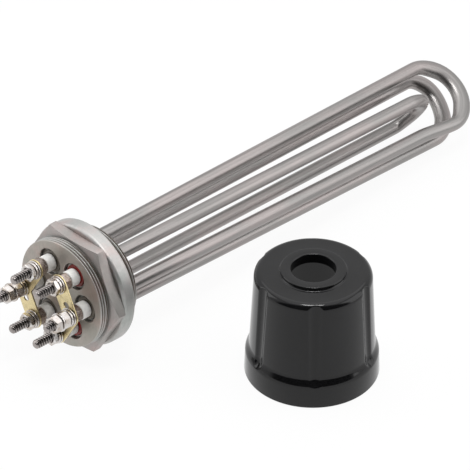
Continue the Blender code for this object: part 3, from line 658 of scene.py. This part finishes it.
def plug_rows(plug, angle):
    """The plug's outside as (axial, radius) rows over the angle, from the terminal face to the tank end."""
    flange_x = -plug.flange_thickness
    hexagon_x = -(plug.flange_thickness + plug.hexagon_height)
    face_x = -(plug.flange_thickness + plug.hexagon_height + plug.boss_height)
    chamfer, relief, fine = 0.5 * mm, 0.9 * mm, 0.2 * mm
    pitch, crest = plug.boss_pitch, plug.boss_radius
    low, high = face_x + chamfer, hexagon_x - relief
    rows = [(face_x, crest - chamfer), (low, crest)]
    for x in np.linspace(low, high, 60)[1:]:
        groove = thread_radius(x, angle, pitch, crest, plug.boss_depth, low - pitch / 2, high + pitch)
        rows.append((x, groove))
    root = crest - relief
    rows += [(hexagon_x - 3 * fine, root), (hexagon_x - fine, root), (hexagon_x, root + fine)]

    flat, inset, edge = plug.flats / 2, 0.4 * mm, 0.25 * mm
    hexagon = hexagon_radius(angle, 0, flat, 260)
    slope = math.tan(plug.hexagon_chamfer)
    rows.append((hexagon_x, flat - 0.7 * mm))
    for part in (0.15, 0.5, 0.97):
        rise = (hexagon - flat + inset) * part
        rows.append((hexagon_x + rise * slope, flat - inset + rise))
    top = hexagon_x + (hexagon - flat + inset) * slope
    rows += [(top + edge, hexagon), (flange_x - edge, hexagon), (flange_x, hexagon - edge)]

    rim, neck = plug.flange_radius, plug.relief_radius
    corners = [(flange_x, rim - plug.flange_edge - fine), (flange_x, rim), (0, rim), (0, neck)]
    rows += list(map(tuple, rounded(corners, (0, plug.flange_edge, 1.2 * mm, 0), 8)[:-1]))
    neck_end = 2.0 * mm
    rows += [(0, neck + 0.3 * mm), (0.3 * mm, neck), (neck_end, neck)]

    end, chamfer, run_out = plug.spigot_length, 1.2 * mm, 2 * mm
    low, high = neck_end + 0.4 * mm, end - chamfer / 2
    pitch, crest, depth = plug.spigot_pitch, plug.spigot_radius, plug.spigot_depth
    for x in np.linspace(low, high, 56):
        groove = thread_radius(x, angle, pitch, crest, depth, low - run_out, high + run_out)
        rise = neck + (x - neck_end)
        fall = crest - np.maximum(x - end + chamfer, 0)
        rows.append((x, np.minimum(np.minimum(groove, rise), fall)))
    rows.append((end, crest - depth - 0.05 * mm))
    return rows


def plug_patches(plug, tubes, terminal):
    """The plug's outside and its two holed end faces, and how deep in a groove or dish each point lies."""
    angle = full_turn(arc_columns * leg_count)
    axial, radius = over_angle(plug_rows(plug, angle), angle)
    places = all_places()
    face_x, floor, end = places["face"], places["dish_floor"], plug.spigot_length
    hole = tubes.radius + terminal.gap
    edge, inside, mouth_inside = 0.5 * mm, floor + 2 * mm, end - 3 * mm
    corners = [(inside, 0), (inside, hole), (floor, hole), (floor, plug.dish_radius),
               (face_x, plug.dish_radius), (face_x, plug.dish_radius + edge + 0.1 * mm)]
    dish = rounded(corners, (0, 0, 0.2 * mm, 0.9 * mm, edge, 0), 6)
    corners = [(mouth_inside, 0), (mouth_inside, hole), (end, hole), (end, hole + 0.6 * mm)]
    mouth = rounded(corners, (0, 0, 0.4 * mm, 0), 4)
    dishes = holed_face(plug.leg_circle, radius[0, 0], dish, face_x)
    mouths = holed_face(plug.leg_circle, radius[-1, 0], mouth, end)

    boss_depth = (plug.boss_radius - radius) / plug.boss_depth
    on_boss = (axial > face_x + edge) & (axial < -(plug.flange_thickness + plug.hexagon_height))
    on_boss &= (boss_depth < 1.1) & (radius < plug.boss_radius + 0.1 * mm)
    on_spigot = (axial > 0.1 * mm) & (axial < end - 0.7 * mm)
    depths = [np.where(on_boss, boss_depth, 0)
              + np.where(on_spigot, (plug.spigot_radius - radius) / plug.spigot_depth, 0)]
    # Painted shade in the dishes grows to this share at their floors.
    dish_shade = 0.35
    depths += [dish_shade * np.clip((grid[..., 0] - face_x) / plug.dish_depth, 0, 1)
               for grid, *closed in dishes]
    depths += [np.zeros(grid.shape[:2]) for grid, *closed in mouths]
    patches = [(around(axial, radius, angle), False, True), *dishes, *mouths]
    return ([(on_heater(grid), *closed) for grid, *closed in patches],
            [np.clip(depth, 0, 1) for depth in depths])


def leg_line(tubes, near_half, far_half, end_x, out, start_x):
    """One leg as (x, half width) rows: straight, splayed, and bulging outwards before its bend."""
    splay_x, reach_x = tubes.straight_x, end_x - tubes.corner_reach
    x = np.concatenate([np.linspace(start_x, splay_x, 6), np.linspace(splay_x, reach_x, 24)[1:],
                        np.linspace(reach_x, end_x, 12)[1:-1]])
    splay = (far_half - near_half) * np.clip((x - splay_x) / (end_x - splay_x), 0, 1)
    return x, near_half + splay + out * smooth_step(reach_x, end_x, x)


def loop_line(tubes, offset_angle, offset, near_half, far_half, bend_x, corner_on, corner_out, start_x):
    """A U tube's centre line, its pressed share and its sideways direction, point by point.

    The bend is a half circle whose radius steps in by the spread; its first corner is shifted along
    the axis and outwards by a squared cosine of the angle into the bend.
    """
    normal = np.array([0, math.cos(offset_angle), math.sin(offset_angle)])
    across = np.array([0, -math.sin(offset_angle), math.cos(offset_angle)])
    first_x, first_half = leg_line(tubes, near_half, far_half, bend_x + corner_on, corner_out, start_x)
    last_x, last_half = leg_line(tubes, near_half, far_half, bend_x, 0, start_x)
    angle = np.linspace(0, math.pi, 73)
    pressed = smooth_step(0, math.sin(tubes.press_angle), np.sin(angle))
    corner = np.cos(math.pi / 2 * np.minimum(1, angle / tubes.corner_sweep)) ** 2
    radius = far_half - tubes.spread * pressed
    x = np.concatenate([first_x, bend_x + radius * np.sin(angle) + corner_on * corner, last_x[::-1]])
    half = np.concatenate([first_half, radius * np.cos(angle) + corner_out * corner, -last_half[::-1]])
    line = x[:, None] * np.array([1, 0, 0]) + half[:, None] * across + normal * offset
    shares = np.concatenate([np.zeros(len(first_x)), pressed, np.zeros(len(last_x))])
    return line, shares, normal


def tube_patch(tubes, line, shares, normal, columns):
    """A tube round a line in a plane: ellipses whose half widths follow the pressed share, ends open."""
    tangent = np.gradient(line, axis=0)
    tangent /= np.linalg.norm(tangent, axis=1)[:, None]
    sideways = np.cross(tangent, normal)
    steps = np.linalg.norm(np.diff(line, axis=0), axis=1)
    travelled = np.concatenate([[0], np.cumsum(steps)])
    angle = full_turn(columns)
    wide = (tubes.radius + tubes.spread * shares)[:, None]
    thin = (tubes.radius - tubes.press * shares)[:, None]
    grid = (line[:, None] + (wide * np.cos(angle))[..., None] * sideways[:, None]
            + (thin * np.sin(angle))[..., None] * normal)
    unbent = around(travelled[:, None], tubes.radius, angle)
    return grid, unbent


def with_ends(grid, unbent, line, tubes):
    """Roll the tube's edge over its wall and close it just inside, at both ends."""
    inner, lip_ratio = (tubes.radius - tubes.wall) / tubes.radius, 0.97
    depth, lip = np.array([1.5 * mm, 0, 0]), np.array([0.15 * mm, 0, 0])
    rings = []
    for end in (0, -1):
        spokes = grid[end] - line[end]
        steps = [(0, depth), (inner, depth), (inner, 0), (lip_ratio, 0), (1, lip)]
        rings.append(np.stack([line[end] + spokes * ratio + step for ratio, step in steps]))
    whole = np.concatenate([rings[0], grid[1:-1], rings[1][::-1]])
    start, finish = (np.repeat(unbent[end][None], len(rings[0]), axis=0) for end in (0, -1))
    return whole, np.concatenate([start, unbent[1:-1], finish])


def nut_patch(flat_radius, height, bore, corner_angle, start_x, chamfer):
    """A hexagon nut outwards from start_x: chamfered ring faces, hexagon sides and a countersunk bore."""
    angle = full_turn(96, corner_angle)
    hexagon = hexagon_radius(angle, corner_angle, flat_radius, 90)
    ring, edge, sink = 0.95 * flat_radius, 0.12 * mm, 0.5 * mm
    drop = (hexagon - ring) * math.tan(chamfer)
    half = [(sink, bore), (0, bore + sink), (0, ring - edge), (0.3 * edge, ring),
            (drop - 0.4 * edge, hexagon - edge), (drop + edge, hexagon)]
    rows = half + [(height - rise, radius) for rise, radius in half[::-1]]
    axial, radius = over_angle(rows, angle)
    return around(start_x - axial, radius, angle)


def ring_patch(inner, outer, height, start_x, edge):
    """A turned ring outwards from start_x, with its edges rounded."""
    corners, bore_edge = [(0, inner), (0, outer), (height, outer), (height, inner)], 0.4 * edge
    profile = rounded(corners, (bore_edge, edge, edge, bore_edge), 4, closed=True)
    return around(start_x - profile[:, :1], profile[:, 1:], full_turn(64))


def split_ring_patch(terminal, bore, start_x, slot_angle):
    """A split washer: a rounded rectangle swept round almost a full turn, its ends slanted and offset."""
    outer, thickness = terminal.spring_radius, terminal.spring_thickness
    middle = (bore + outer) / 2
    half_gap = terminal.spring_slot / 2 / middle
    corners = [(0, bore), (0, outer), (thickness, outer), (thickness, bore)]
    section = rounded(corners, 0.18 * mm, 3, closed=True)
    sweep = np.linspace(half_gap, whole_turn - half_gap, 72)[:, None]
    sweep = np.concatenate([sweep[:1], sweep, sweep[-1:]])
    open_section = np.ones((len(sweep), 1))
    open_section[[0, -1]] = 0
    centre = section.mean(axis=0)
    height, radius = (centre[part] + (section[:, part] - centre[part]) * open_section for part in (0, 1))
    slant = (height - thickness / 2) * math.tan(terminal.spring_slant) / middle
    return around(start_x - height, radius, slot_angle + sweep + slant)


def stud_patch(terminal, places, tip):
    """A stud: a domed tip, a thread up to the bead, a plain shank and the cold pin, and its groove depth."""
    angle = full_turn(48)
    crest, pin, pin_end = terminal.stud_radius, terminal.pin_radius, terminal.pin_end_x
    shoulder = places["bead"]
    plain = shoulder - terminal.bead_length - 1 * mm
    rows_a_pitch = 9
    count = int((plain - tip) / (terminal.stud_pitch / rows_a_pitch))
    axial = np.linspace(tip + 0.1 * mm, plain, count)[:, None]
    dome = np.clip((axial - tip) / terminal.tip_length, 0, 1)
    taper = terminal.tip_radius + (crest - terminal.tip_radius) * np.sqrt(dome * (2 - dome))
    groove = thread_radius(axial, angle, terminal.stud_pitch, crest, terminal.stud_depth, tip, plain)
    thread = np.minimum(taper, groove)
    rows = [(tip, 0), (tip, terminal.tip_radius), *zip(axial, thread)]
    rows += [(shoulder, crest), (shoulder, pin), (pin_end, pin), (pin_end, 0)]
    axial, radius = over_angle(rows, angle)
    depth = np.zeros(radius.shape)
    depth[2:2 + count] = (taper - thread) / terminal.stud_depth
    return around(axial, radius, angle), depth


def plate_outline(terminal, circle, steps):
    """The link plate's edge round three studs: round ends, a round knee and an inner corner."""
    half, knee = terminal.plate_width / 2, leg_turn / 2
    arcs = [(-leg_turn, math.pi - knee, math.pi), (0, -knee, 2 * knee), (leg_turn, knee, math.pi)]
    edge = []
    for place, start, sweep in arcs:
        angle = np.linspace(start, start + sweep, steps)
        edge.append(circle_point(circle, place) + circle_point(half, angle))
    return np.concatenate([*edge, [[circle - half / math.cos(knee), 0]]])


def plate_mesh(name, terminal, circle):
    """A flat plate: a filled outline with its stud holes and spare hole, given thickness and a fine bevel."""
    bevel = 0.14 * mm
    curve = bpy.data.curves.new(name, "CURVE")
    curve.dimensions = "2D"
    curve.fill_mode = "BOTH"
    curve.extrude = terminal.plate_thickness / 2 - bevel
    curve.bevel_depth = bevel
    curve.bevel_resolution = 2
    curve.offset = -bevel
    bore = terminal.stud_radius + terminal.gap
    studs = [circle_point(circle, angle) for angle in (-leg_turn, 0, leg_turn)]
    arm = studs[0] - studs[1]
    spare = studs[1] + arm / np.linalg.norm(arm) * terminal.spare_distance
    holes = [(stud, bore) for stud in studs] + [(spare, terminal.spare_hole)]
    outlines = [plate_outline(terminal, circle, 24)]
    outlines += [centre + circle_point(hole, full_turn(40)) for centre, hole in holes]
    for outline in outlines:
        spline = curve.splines.new("POLY")
        spline.points.add(len(outline) - 1)
        flat = np.concatenate([outline, np.tile([0.0, 1.0], (len(outline), 1))], axis=1)
        spline.points.foreach_set("co", flat.ravel())
        spline.use_cyclic_u = True
    drawn = bpy.data.objects.new(name + "_outline", curve)
    bpy.context.scene.collection.objects.link(drawn)
    mesh = bpy.data.meshes.new_from_object(drawn.evaluated_get(bpy.context.evaluated_depsgraph_get()))
    bpy.data.objects.remove(drawn)
    bpy.data.curves.remove(curve)
    return mesh


def shoulder_top(cap):
    """Height and radius of the cap's side where its shoulder starts."""
    return cap.skirt_height + cap.shoulder_height, cap.mouth_radius - cap.skirt_taper - cap.shoulder_step


def flute_cut(cap, body, height, angle):
    """How far a leaning round rod cuts into the cap's side, softly joined to it at its edges."""
    foot, foot_radius = shoulder_top(cap)
    slope = (foot_radius - cap.top_radius + cap.flute_lean) / (cap.height - foot)
    over, under = np.maximum(height - foot, 0), np.maximum(foot - height, 0)
    rod_squared = np.maximum(cap.flute_radius ** 2 - under ** 2, 0)
    distance = foot_radius + cap.flute_radius - cap.flute_depth - over * slope
    step = whole_turn / cap.flutes
    away = np.mod(angle - cap.flute_turn + step / 2, step) - step / 2
    room = rod_squared - (distance * np.sin(away)) ** 2
    clear, soft = 5 * mm, 0.5 * mm
    cut = np.where(room > 0, distance * np.cos(away) - np.sqrt(np.maximum(room, 0)), body + clear)
    blend = np.clip(0.5 + 0.5 * (cut - body) / soft, 0, 1)
    return cut * (1 - blend) + body * blend - soft * blend * (1 - blend)


def cap_rows(cap):
    """The cap's section as (height, radius) rows, and which of them carry the flutes."""
    ring_top = cap.height + cap.ring_height
    corners = [(ring_top, cap.cable_hole), (ring_top, cap.ring_radius), (cap.height, cap.ring_radius),
               (cap.height, cap.top_radius - cap.edge - 1 * mm)]
    top = rounded(corners, (0, cap.lip, 1.2 * mm, 0), 8)
    foot, foot_radius = shoulder_top(cap)
    skirt_radius = cap.mouth_radius - cap.skirt_taper
    angle = np.linspace(math.pi / 2, math.atan2(foot_radius - cap.top_radius, cap.height), 26)
    edge = np.stack([cap.height - cap.edge + cap.edge * np.sin(angle),
                     cap.top_radius - cap.edge + cap.edge * np.cos(angle)], axis=1)
    side = np.linspace(edge[-1], (foot, foot_radius), 40)[1:-1]
    part = np.linspace(0, 1, 26)
    shoulder = np.stack([cap.skirt_height + cap.shoulder_height * (1 - part),
                         skirt_radius - cap.shoulder_step * (1 + np.cos(math.pi * part)) / 2], axis=1)
    corners = [(cap.skirt_height, skirt_radius), (0, cap.mouth_radius), (0, cap.mouth_inner_radius)]
    skirt = rounded(corners, (0, cap.lip, 0), 5)[1:]
    outside = np.concatenate([top, edge, side, shoulder, skirt])
    fluted = np.zeros(len(outside), bool)
    fluted[len(top):-len(skirt)] = True
    return outside, fluted


def cap_patches(cap):
    """The cap's outside with its flutes, the threaded mouth, the cavity and the cable hole."""
    angle = full_turn(360)
    outside, fluted = cap_rows(cap)
    axial, radius = over_angle(outside, angle)
    radius[fluted] = flute_cut(cap, radius[fluted], axial[fluted], angle)

    bore, start = cap.mouth_inner_radius, 0.5 * mm
    heights = np.linspace(start, cap.mouth_depth, 44)[:, None]
    thread = thread_radius(heights, angle, cap.thread_pitch, bore + cap.thread_depth, cap.thread_depth,
                           start, cap.mouth_depth)
    mouth = over_angle(list(zip(heights, 2 * bore + cap.thread_depth - thread)), angle)

    ceiling, ring_top, hole = cap.height - cap.wall, cap.height + cap.ring_height, cap.cable_hole
    corners = [(cap.mouth_depth, bore), (cap.mouth_depth + 0.3 * mm, bore - 0.6 * mm),
               (ceiling, cap.top_radius - cap.wall), (ceiling, hole)]
    cavity = rounded(corners, (0, 0, cap.wall, 0), 6)
    turn = np.linspace(0, math.pi / 2, 6)
    lip = np.stack([ring_top - cap.lip + cap.lip * np.sin(turn), hole + cap.lip - cap.lip * np.cos(turn)],
                   axis=1)
    inside = over_angle(np.concatenate([cavity, lip]), angle)
    axial, radius = (np.concatenate(parts) for parts in zip((axial[1:], radius[1:]), mouth, inside))
    grid = np.stack([radius * np.cos(angle), radius * np.sin(angle), axial], axis=-1)
    return [(cap_centre() + grid, True, True)]


def fasteners(index):
    """The nuts and washers of one terminal, in the order in which they are stacked."""
    names = ["lower_nut", "flat_washer", "spring_washer", "top_nut"]
    return names + ["supply_washer", "supply_nut"] if index in supply_terminals else names


class HEATER_OT_plug(bpy.types.Operator):
    """Make the turned plug with its hexagon, its two threads and its dished holes"""
    bl_idname = "heater.plug"
    bl_label = "Plug"

    def execute(self, context):
        scene = context.scene
        plug = scene.heater_plug
        patches, depths = plug_patches(plug, scene.heater_tubes, scene.heater_terminal)
        make_piece("turned_plug", patches, plug_finish(scene.heater_finish, plug), ["plug_head"],
                   ("groove", depths))
        return {"FINISHED"}


class HEATER_OT_tubes(bpy.types.Operator):
    """Make the three U-shaped tubes with their pressed bends"""
    bl_idname = "heater.tubes"
    bl_label = "Tubes"

    def execute(self, context):
        scene = context.scene
        tubes, circle = scene.heater_tubes, scene.heater_plug.leg_circle
        near, offset = circle * math.sin(leg_turn), circle * math.cos(leg_turn)
        wide = near + tubes.splay
        loops = {
            "a": (2 * leg_turn, offset, near, wide, tubes.front_bend_x, 0, tubes.corner_out),
            "b": (5 * leg_turn, offset, near, wide, tubes.rear_bend_x, tubes.corner_on, 0),
            "c": (leg_turn / 2, 0, circle, circle - tubes.pinch, tubes.inner_bend_x, -tubes.corner_back, 0),
        }
        finish = tube_finish(scene.heater_finish)
        start_x = all_places()["sheath_end"]
        for letter, sizes in loops.items():
            line, shares, normal = loop_line(tubes, *sizes, start_x)
            grid, unbent = with_ends(*tube_patch(tubes, line, shares, normal, 48), line, tubes)
            make_piece(f"sheath_tube_{letter}", [(on_heater(grid), False, True)], finish,
                       [f"sheath_{letter}"], ("straight", [unbent]))
        return {"FINISHED"}


class HEATER_OT_studs(bpy.types.Operator):
    """Make the six threaded studs with their cold pins"""
    bl_idname = "heater.studs"
    bl_label = "Studs"

    def execute(self, context):
        stud = context.scene.heater_finish.stud
        # Painted shade darkens the studs' thread roots.
        finish = metal_finish("threaded_stud_steel", stud, tone(stud, 0.8), 0.3, 1800, shaded_grooves=True)
        places = all_places()
        for index in terminals:
            tip = places["supply_tip" if index in supply_terminals else "tip"]
            patch, depth = stud_patch(context.scene.heater_terminal, places, tip)
            make_terminal_piece("threaded_stud", index, patch, finish, "terminal_stud",
                                closed=False, marks=("groove", [depth]))
        return {"FINISHED"}


class HEATER_OT_beads(bpy.types.Operator):
    """Make the ceramic beads and the silicone seals under them"""
    bl_idname = "heater.beads"
    bl_label = "Beads and seals"

    def execute(self, context):
        scene = context.scene
        terminal, tubes, colours = scene.heater_terminal, scene.heater_tubes, scene.heater_finish
        places, gap = all_places(), terminal.gap
        bead = ring_patch(terminal.stud_radius + gap, terminal.bead_radius, terminal.bead_length,
                          places["bead"], 0.8 * mm)
        thickness = tubes.stand - gap
        seal = ring_patch(tubes.radius + gap, terminal.seal_radius, thickness, places["seal"],
                          thickness * 0.45)
        ceramic = cloudy_finish("steatite_ceramic", colours.ceramic, 0, (0.40, 0.60), 220,
                                [(0.35, 0.90), (0.6, 1.0)], (0.2, 0.03), (2600, 3, 0.7))
        silicone = (0, (0.32, 0.5), 420, [(0.35, 0.7), (0.65, 1.25)], (0.3, 0.12))
        red = cloudy_finish("red_silicone_seal", colours.silicone, *silicone)
        # A dark copy of the silicone: painted shade for the seals deep in their dishes.
        shaded_seal = cloudy_finish("shaded_silicone_seal", colours.shaded_seal, *silicone)
        for index in terminals:
            make_terminal_piece("steatite_bead", index, bead, ceramic, "ceramic_bead")
            make_terminal_piece("seal_ring", index, seal, red if index in unshaded_seals else shaded_seal,
                                "silicone_seal")
        return {"FINISHED"}


class HEATER_OT_nuts(bpy.types.Operator):
    """Make the nuts and washers of all terminals"""
    bl_idname = "heater.nuts"
    bl_label = "Nuts and washers"

    def execute(self, context):
        scene = context.scene
        terminal, colours, places = scene.heater_terminal, scene.heater_finish, all_places()
        bright = metal_finish("plated_fastener_steel", colours.plated, colours.plated_tint, 0.22, 1200)
        # The lower nuts get a darker, browner copy of the plated steel: painted shade under the link plates.
        lower_nut_shaded = metal_finish("shaded_lower_nut_steel", colours.lower_nut_shaded, colours.lower_nut_shade_tint, 0.27, 1200)
        bore, flat = terminal.stud_radius + terminal.gap, terminal.nut_flats / 2
        pieces_below = 3  # the stud, the seal and the bead lie below the lower nut
        for index in terminals:
            for order, name in enumerate(fasteners(index), pieces_below):
                turn = terminal.nut_turn * (index + 2 * order)
                label, closed = f"bright_{name}", True
                if name.endswith("nut"):
                    thin = name == "top_nut" and index not in supply_terminals
                    height = terminal.thin_nut_height if thin else terminal.nut_height
                    patch = nut_patch(flat, height, bore, -turn, places[name], terminal.nut_chamfer)
                elif name == "spring_washer":
                    patch = split_ring_patch(terminal, bore, places[name], math.pi - turn)
                    label, closed = "split_washer", False
                else:
                    patch = ring_patch(bore, terminal.washer_radius, terminal.washer_thickness,
                                       places[name], 0.2 * mm)
                make_terminal_piece(label, index, patch, lower_nut_shaded if name == "lower_nut" else bright, name,
                                    closed)
        return {"FINISHED"}


class HEATER_OT_plates(bpy.types.Operator):
    """Make the two brass plates that link the terminals"""
    bl_idname = "heater.plates"
    bl_label = "Link plates"

    def execute(self, context):
        scene = context.scene
        terminal, brass = scene.heater_terminal, scene.heater_finish.brass
        finish = metal_finish("rolled_brass", brass, tone(brass, 0.82), 0.28, 900)
        middle_x = all_places()["plate"] - terminal.plate_thickness / 2
        turn = Matrix([[*row, place] for row, place in zip(heater_axes, heater_origin)] + [[0, 0, 0, 1]])
        for letter, side in (("a", 1), ("b", -1)):
            stand = Matrix(((0, 0, 1, middle_x), (side, 0, 0, 0), (0, side, 0, 0), (0, 0, 0, 1)))
            mesh = plate_mesh(f"brass_plate_{letter}", terminal, scene.heater_plug.leg_circle)
            mesh.transform(turn @ stand)
            weld(mesh)
            hand_over(f"brass_plate_{letter}", mesh, finish, [f"link_plate_{letter}"])
        return {"FINISHED"}


class HEATER_OT_cap(bpy.types.Operator):
    """Make the moulded cap with its flutes, ring and threaded mouth"""
    bl_idname = "heater.cap"
    bl_label = "Cap"

    def execute(self, context):
        scene = context.scene
        make_piece("moulded_cap", cap_patches(scene.heater_cap), cap_finish(scene.heater_finish),
                   ["terminal_cap"])
        return {"FINISHED"}


class HEATER_OT_inner(bpy.types.Operator):
    """Give the magnesia and the windings inside the tubes their finishes"""
    bl_idname = "heater.inner"
    bl_label = "Inner parts"

    def execute(self, context):
        colours = context.scene.heater_finish
        dull, look = (0.7, 0.7), ([(0.35, 0.85), (0.65, 1.0)], (0.3, 0.05))
        finishes = {
            "magnesia_core": cloudy_finish("packed_magnesia", colours.magnesia, 0, dull, 1500, *look),
            "heating_coil": cloudy_finish("resistance_winding", colours.winding, 1, dull, 3000, *look),
        }
        for name, node in frame["nodes"].items():
            finish = finishes.get(name.rsplit("_", 1)[0])
            if finish:
                for place in node.material_slots:
                    place.material = finish
        return {"FINISHED"}


# Each lamp's place, the point it faces, its two sides in metres and its watts.
lamps = {
    "top_softbox": ((0.2, 0.2, 1.3), (0, 0, 0), (1.5, 1.5), 6.0),
    "left_softbox": ((-0.9, 1.1, 0.8), (-0.05, 0, 0.03), (0.8, 1.0), 4.0),
    "right_softbox": ((0.8, -1.0, 0.7), (-0.05, 0, 0.03), (1.0, 1.3), 5.0),
    "key_softbox": ((-0.12, -0.12, 1.1), (-0.03, -0.03, 0.03), (0.34, 0.12), 3.2),
}


def softbox(name, place, aim, size, power):
    """A rectangular lamp that faces a point."""
    lamp = bpy.data.lights.new(name, "AREA")
    lamp.shape = "RECTANGLE"
    lamp.size, lamp.size_y = size
    lamp.energy = power
    stand = bpy.data.objects.new(name, lamp)
    stand.location = place
    stand.rotation_euler = (Vector(aim) - Vector(place)).to_track_quat("-Z", "Y").to_euler()
    bpy.context.scene.collection.objects.link(stand)


class HEATER_OT_stage(bpy.types.Operator):
    """Make the floor, the lamps, the surroundings and the camera"""
    bl_idname = "heater.stage"
    bl_label = "Stage"

    def execute(self, context):
        context.scene.view_settings.view_transform = "Standard"
        make_floor()
        make_surroundings(context.scene)
        for name, settings in lamps.items():
            softbox(name, *settings)
        make_camera(context.scene)
        return {"FINISHED"}


def make_floor():
    """A white floor that the camera sees as white, with a share of its shading kept for shadows."""
    reach, white_share = 6, 0.93
    corners = [(-reach, -reach, 0), (reach, -reach, 0), (reach, reach, 0), (-reach, reach, 0)]
    mesh = bpy.data.meshes.new("floor")
    mesh.from_pydata(corners, [], [(0, 1, 2, 3)])
    floor = bpy.data.objects.new("floor", mesh)
    bpy.context.scene.collection.objects.link(floor)
    finish, tree, shader = node_tree("white_floor", (0.9, 0.9, 0.9), 0, 0.9)
    glow = add_node(tree, "ShaderNodeEmission", Color=white, Strength=1.0)
    ray = add_node(tree, "ShaderNodeLightPath").outputs
    seen = ray["Is Camera Ray"]
    for kind in ("Is Glossy Ray", "Is Transmission Ray"):
        seen = maths(tree, "ADD", seen, ray[kind], use_clamp=True)
    mix = add_node(tree, "ShaderNodeMixShader", _0=maths(tree, "MULTIPLY", seen, white_share),
                   _1=shader.outputs[0], _2=glow.outputs[0])
    tree.links.new(mix.outputs[0], tree.nodes["Material Output"].inputs["Surface"])
    mesh.materials.append(finish)


def make_surroundings(scene):
    """White where the camera sees past the floor; for other rays a studio, dark low down by the camera."""
    world = bpy.data.worlds.new("studio")
    scene.world = world
    world.use_nodes = True
    tree = world.node_tree
    tree.nodes.clear()
    direction = add_node(tree, "ShaderNodeTexCoord").outputs["Generated"]
    height = add_node(tree, "ShaderNodeSeparateXYZ", Vector=direction).outputs["Z"]
    sky = [(0.0, (0.90, 0.90, 0.90)), (0.12, (0.80, 0.80, 0.80)), (0.35, (0.80, 0.80, 0.81)),
           (0.60, (1.0, 1.0, 1.0)), (1.0, (0.70, 0.70, 0.71))]
    camera_side = (-0.707, -0.707, 0)
    towards = add_node(tree, "ShaderNodeVectorMath", {"operation": "DOT_PRODUCT"}, _0=direction,
                       _1=camera_side).outputs["Value"]
    studio = product(tree, ramp(tree, height, sky), spread(tree, towards, 0.28, 0.46, 1.0, 0.03))
    ray = add_node(tree, "ShaderNodeLightPath")
    background = add_node(tree, "ShaderNodeBackground", Strength=1.0,
                          Color=mixed(tree, ray.outputs["Is Camera Ray"], studio, white))
    out = add_node(tree, "ShaderNodeOutputWorld")
    tree.links.new(background.outputs[0], out.inputs["Surface"])


def make_camera(scene):
    """A long lens, turned by a heading, a fall and a roll: (sin, -cos) of the heading runs to the right."""
    heading, fall, roll = math.radians(44.938), math.radians(36.70), math.radians(0.431)
    from_cap = Vector((-2.04942, -1.97888, 2.22138))
    picture_width, focal_pixels, sensor_width = 470, 6000, 36
    ahead = Vector((math.cos(heading) * math.cos(fall), math.sin(heading) * math.cos(fall), -math.sin(fall)))
    right = Vector((math.sin(heading), -math.cos(heading), 0))
    up = right.cross(ahead)
    right, up = right * math.cos(roll) + up * math.sin(roll), up * math.cos(roll) - right * math.sin(roll)
    turn = Matrix((right, up, -ahead)).transposed().to_4x4()
    lens = bpy.data.cameras.new("camera")
    lens.sensor_width = sensor_width
    lens.lens = focal_pixels * sensor_width / picture_width
    lens.clip_end = 50
    camera = bpy.data.objects.new("camera", lens)
    camera.matrix_world = Matrix.Translation(Vector(cap_centre()) + from_cap) @ turn
    scene.collection.objects.link(camera)
    scene.camera = camera


class HEATER_PT_sidebar(bpy.types.Panel):
    """Buttons for each group of pieces, and the sizes and colours they use"""
    bl_idname = "HEATER_PT_sidebar"
    bl_label = "Immersion heater"
    bl_space_type = "VIEW_3D"
    bl_region_type = "UI"
    bl_category = "Heater"

    def draw(self, context):
        column = self.layout.column(align=True)
        for operator in operators:
            column.operator(operator.bl_idname)
        for name, group in size_groups.items():
            box = self.layout.box()
            box.label(text=group.__doc__.splitlines()[0])
            for size in group.__annotations__:
                box.prop(getattr(context.scene, name), size)


operators = (HEATER_OT_plug, HEATER_OT_tubes, HEATER_OT_studs, HEATER_OT_beads, HEATER_OT_nuts,
             HEATER_OT_plates, HEATER_OT_cap, HEATER_OT_inner, HEATER_OT_stage)
size_groups = {"heater_plug": PlugSizes, "heater_tubes": TubeSizes, "heater_terminal": TerminalSizes,
               "heater_cap": CapSizes, "heater_finish": FinishColours}


def register():
    """Add the size groups, the operators and the panel."""
    for name, group in size_groups.items():
        bpy.utils.register_class(group)
        setattr(bpy.types.Scene, name, bpy.props.PointerProperty(type=group))
    for item in (*operators, HEATER_PT_sidebar):
        bpy.utils.register_class(item)


def unregister():
    """Take them out again."""
    for item in reversed((*operators, HEATER_PT_sidebar)):
        bpy.utils.unregister_class(item)
    for name, group in size_groups.items():
        delattr(bpy.types.Scene, name)
        bpy.utils.unregister_class(group)


def main():
    """Register, and make every piece and the stage."""
    register()
    bpy.ops.heater.plug()
    bpy.ops.heater.tubes()
    bpy.ops.heater.studs()
    bpy.ops.heater.beads()
    bpy.ops.heater.nuts()
    bpy.ops.heater.plates()
    bpy.ops.heater.cap()
    bpy.ops.heater.inner()
    bpy.ops.heater.stage()


if __name__ == "__main__":
    main()
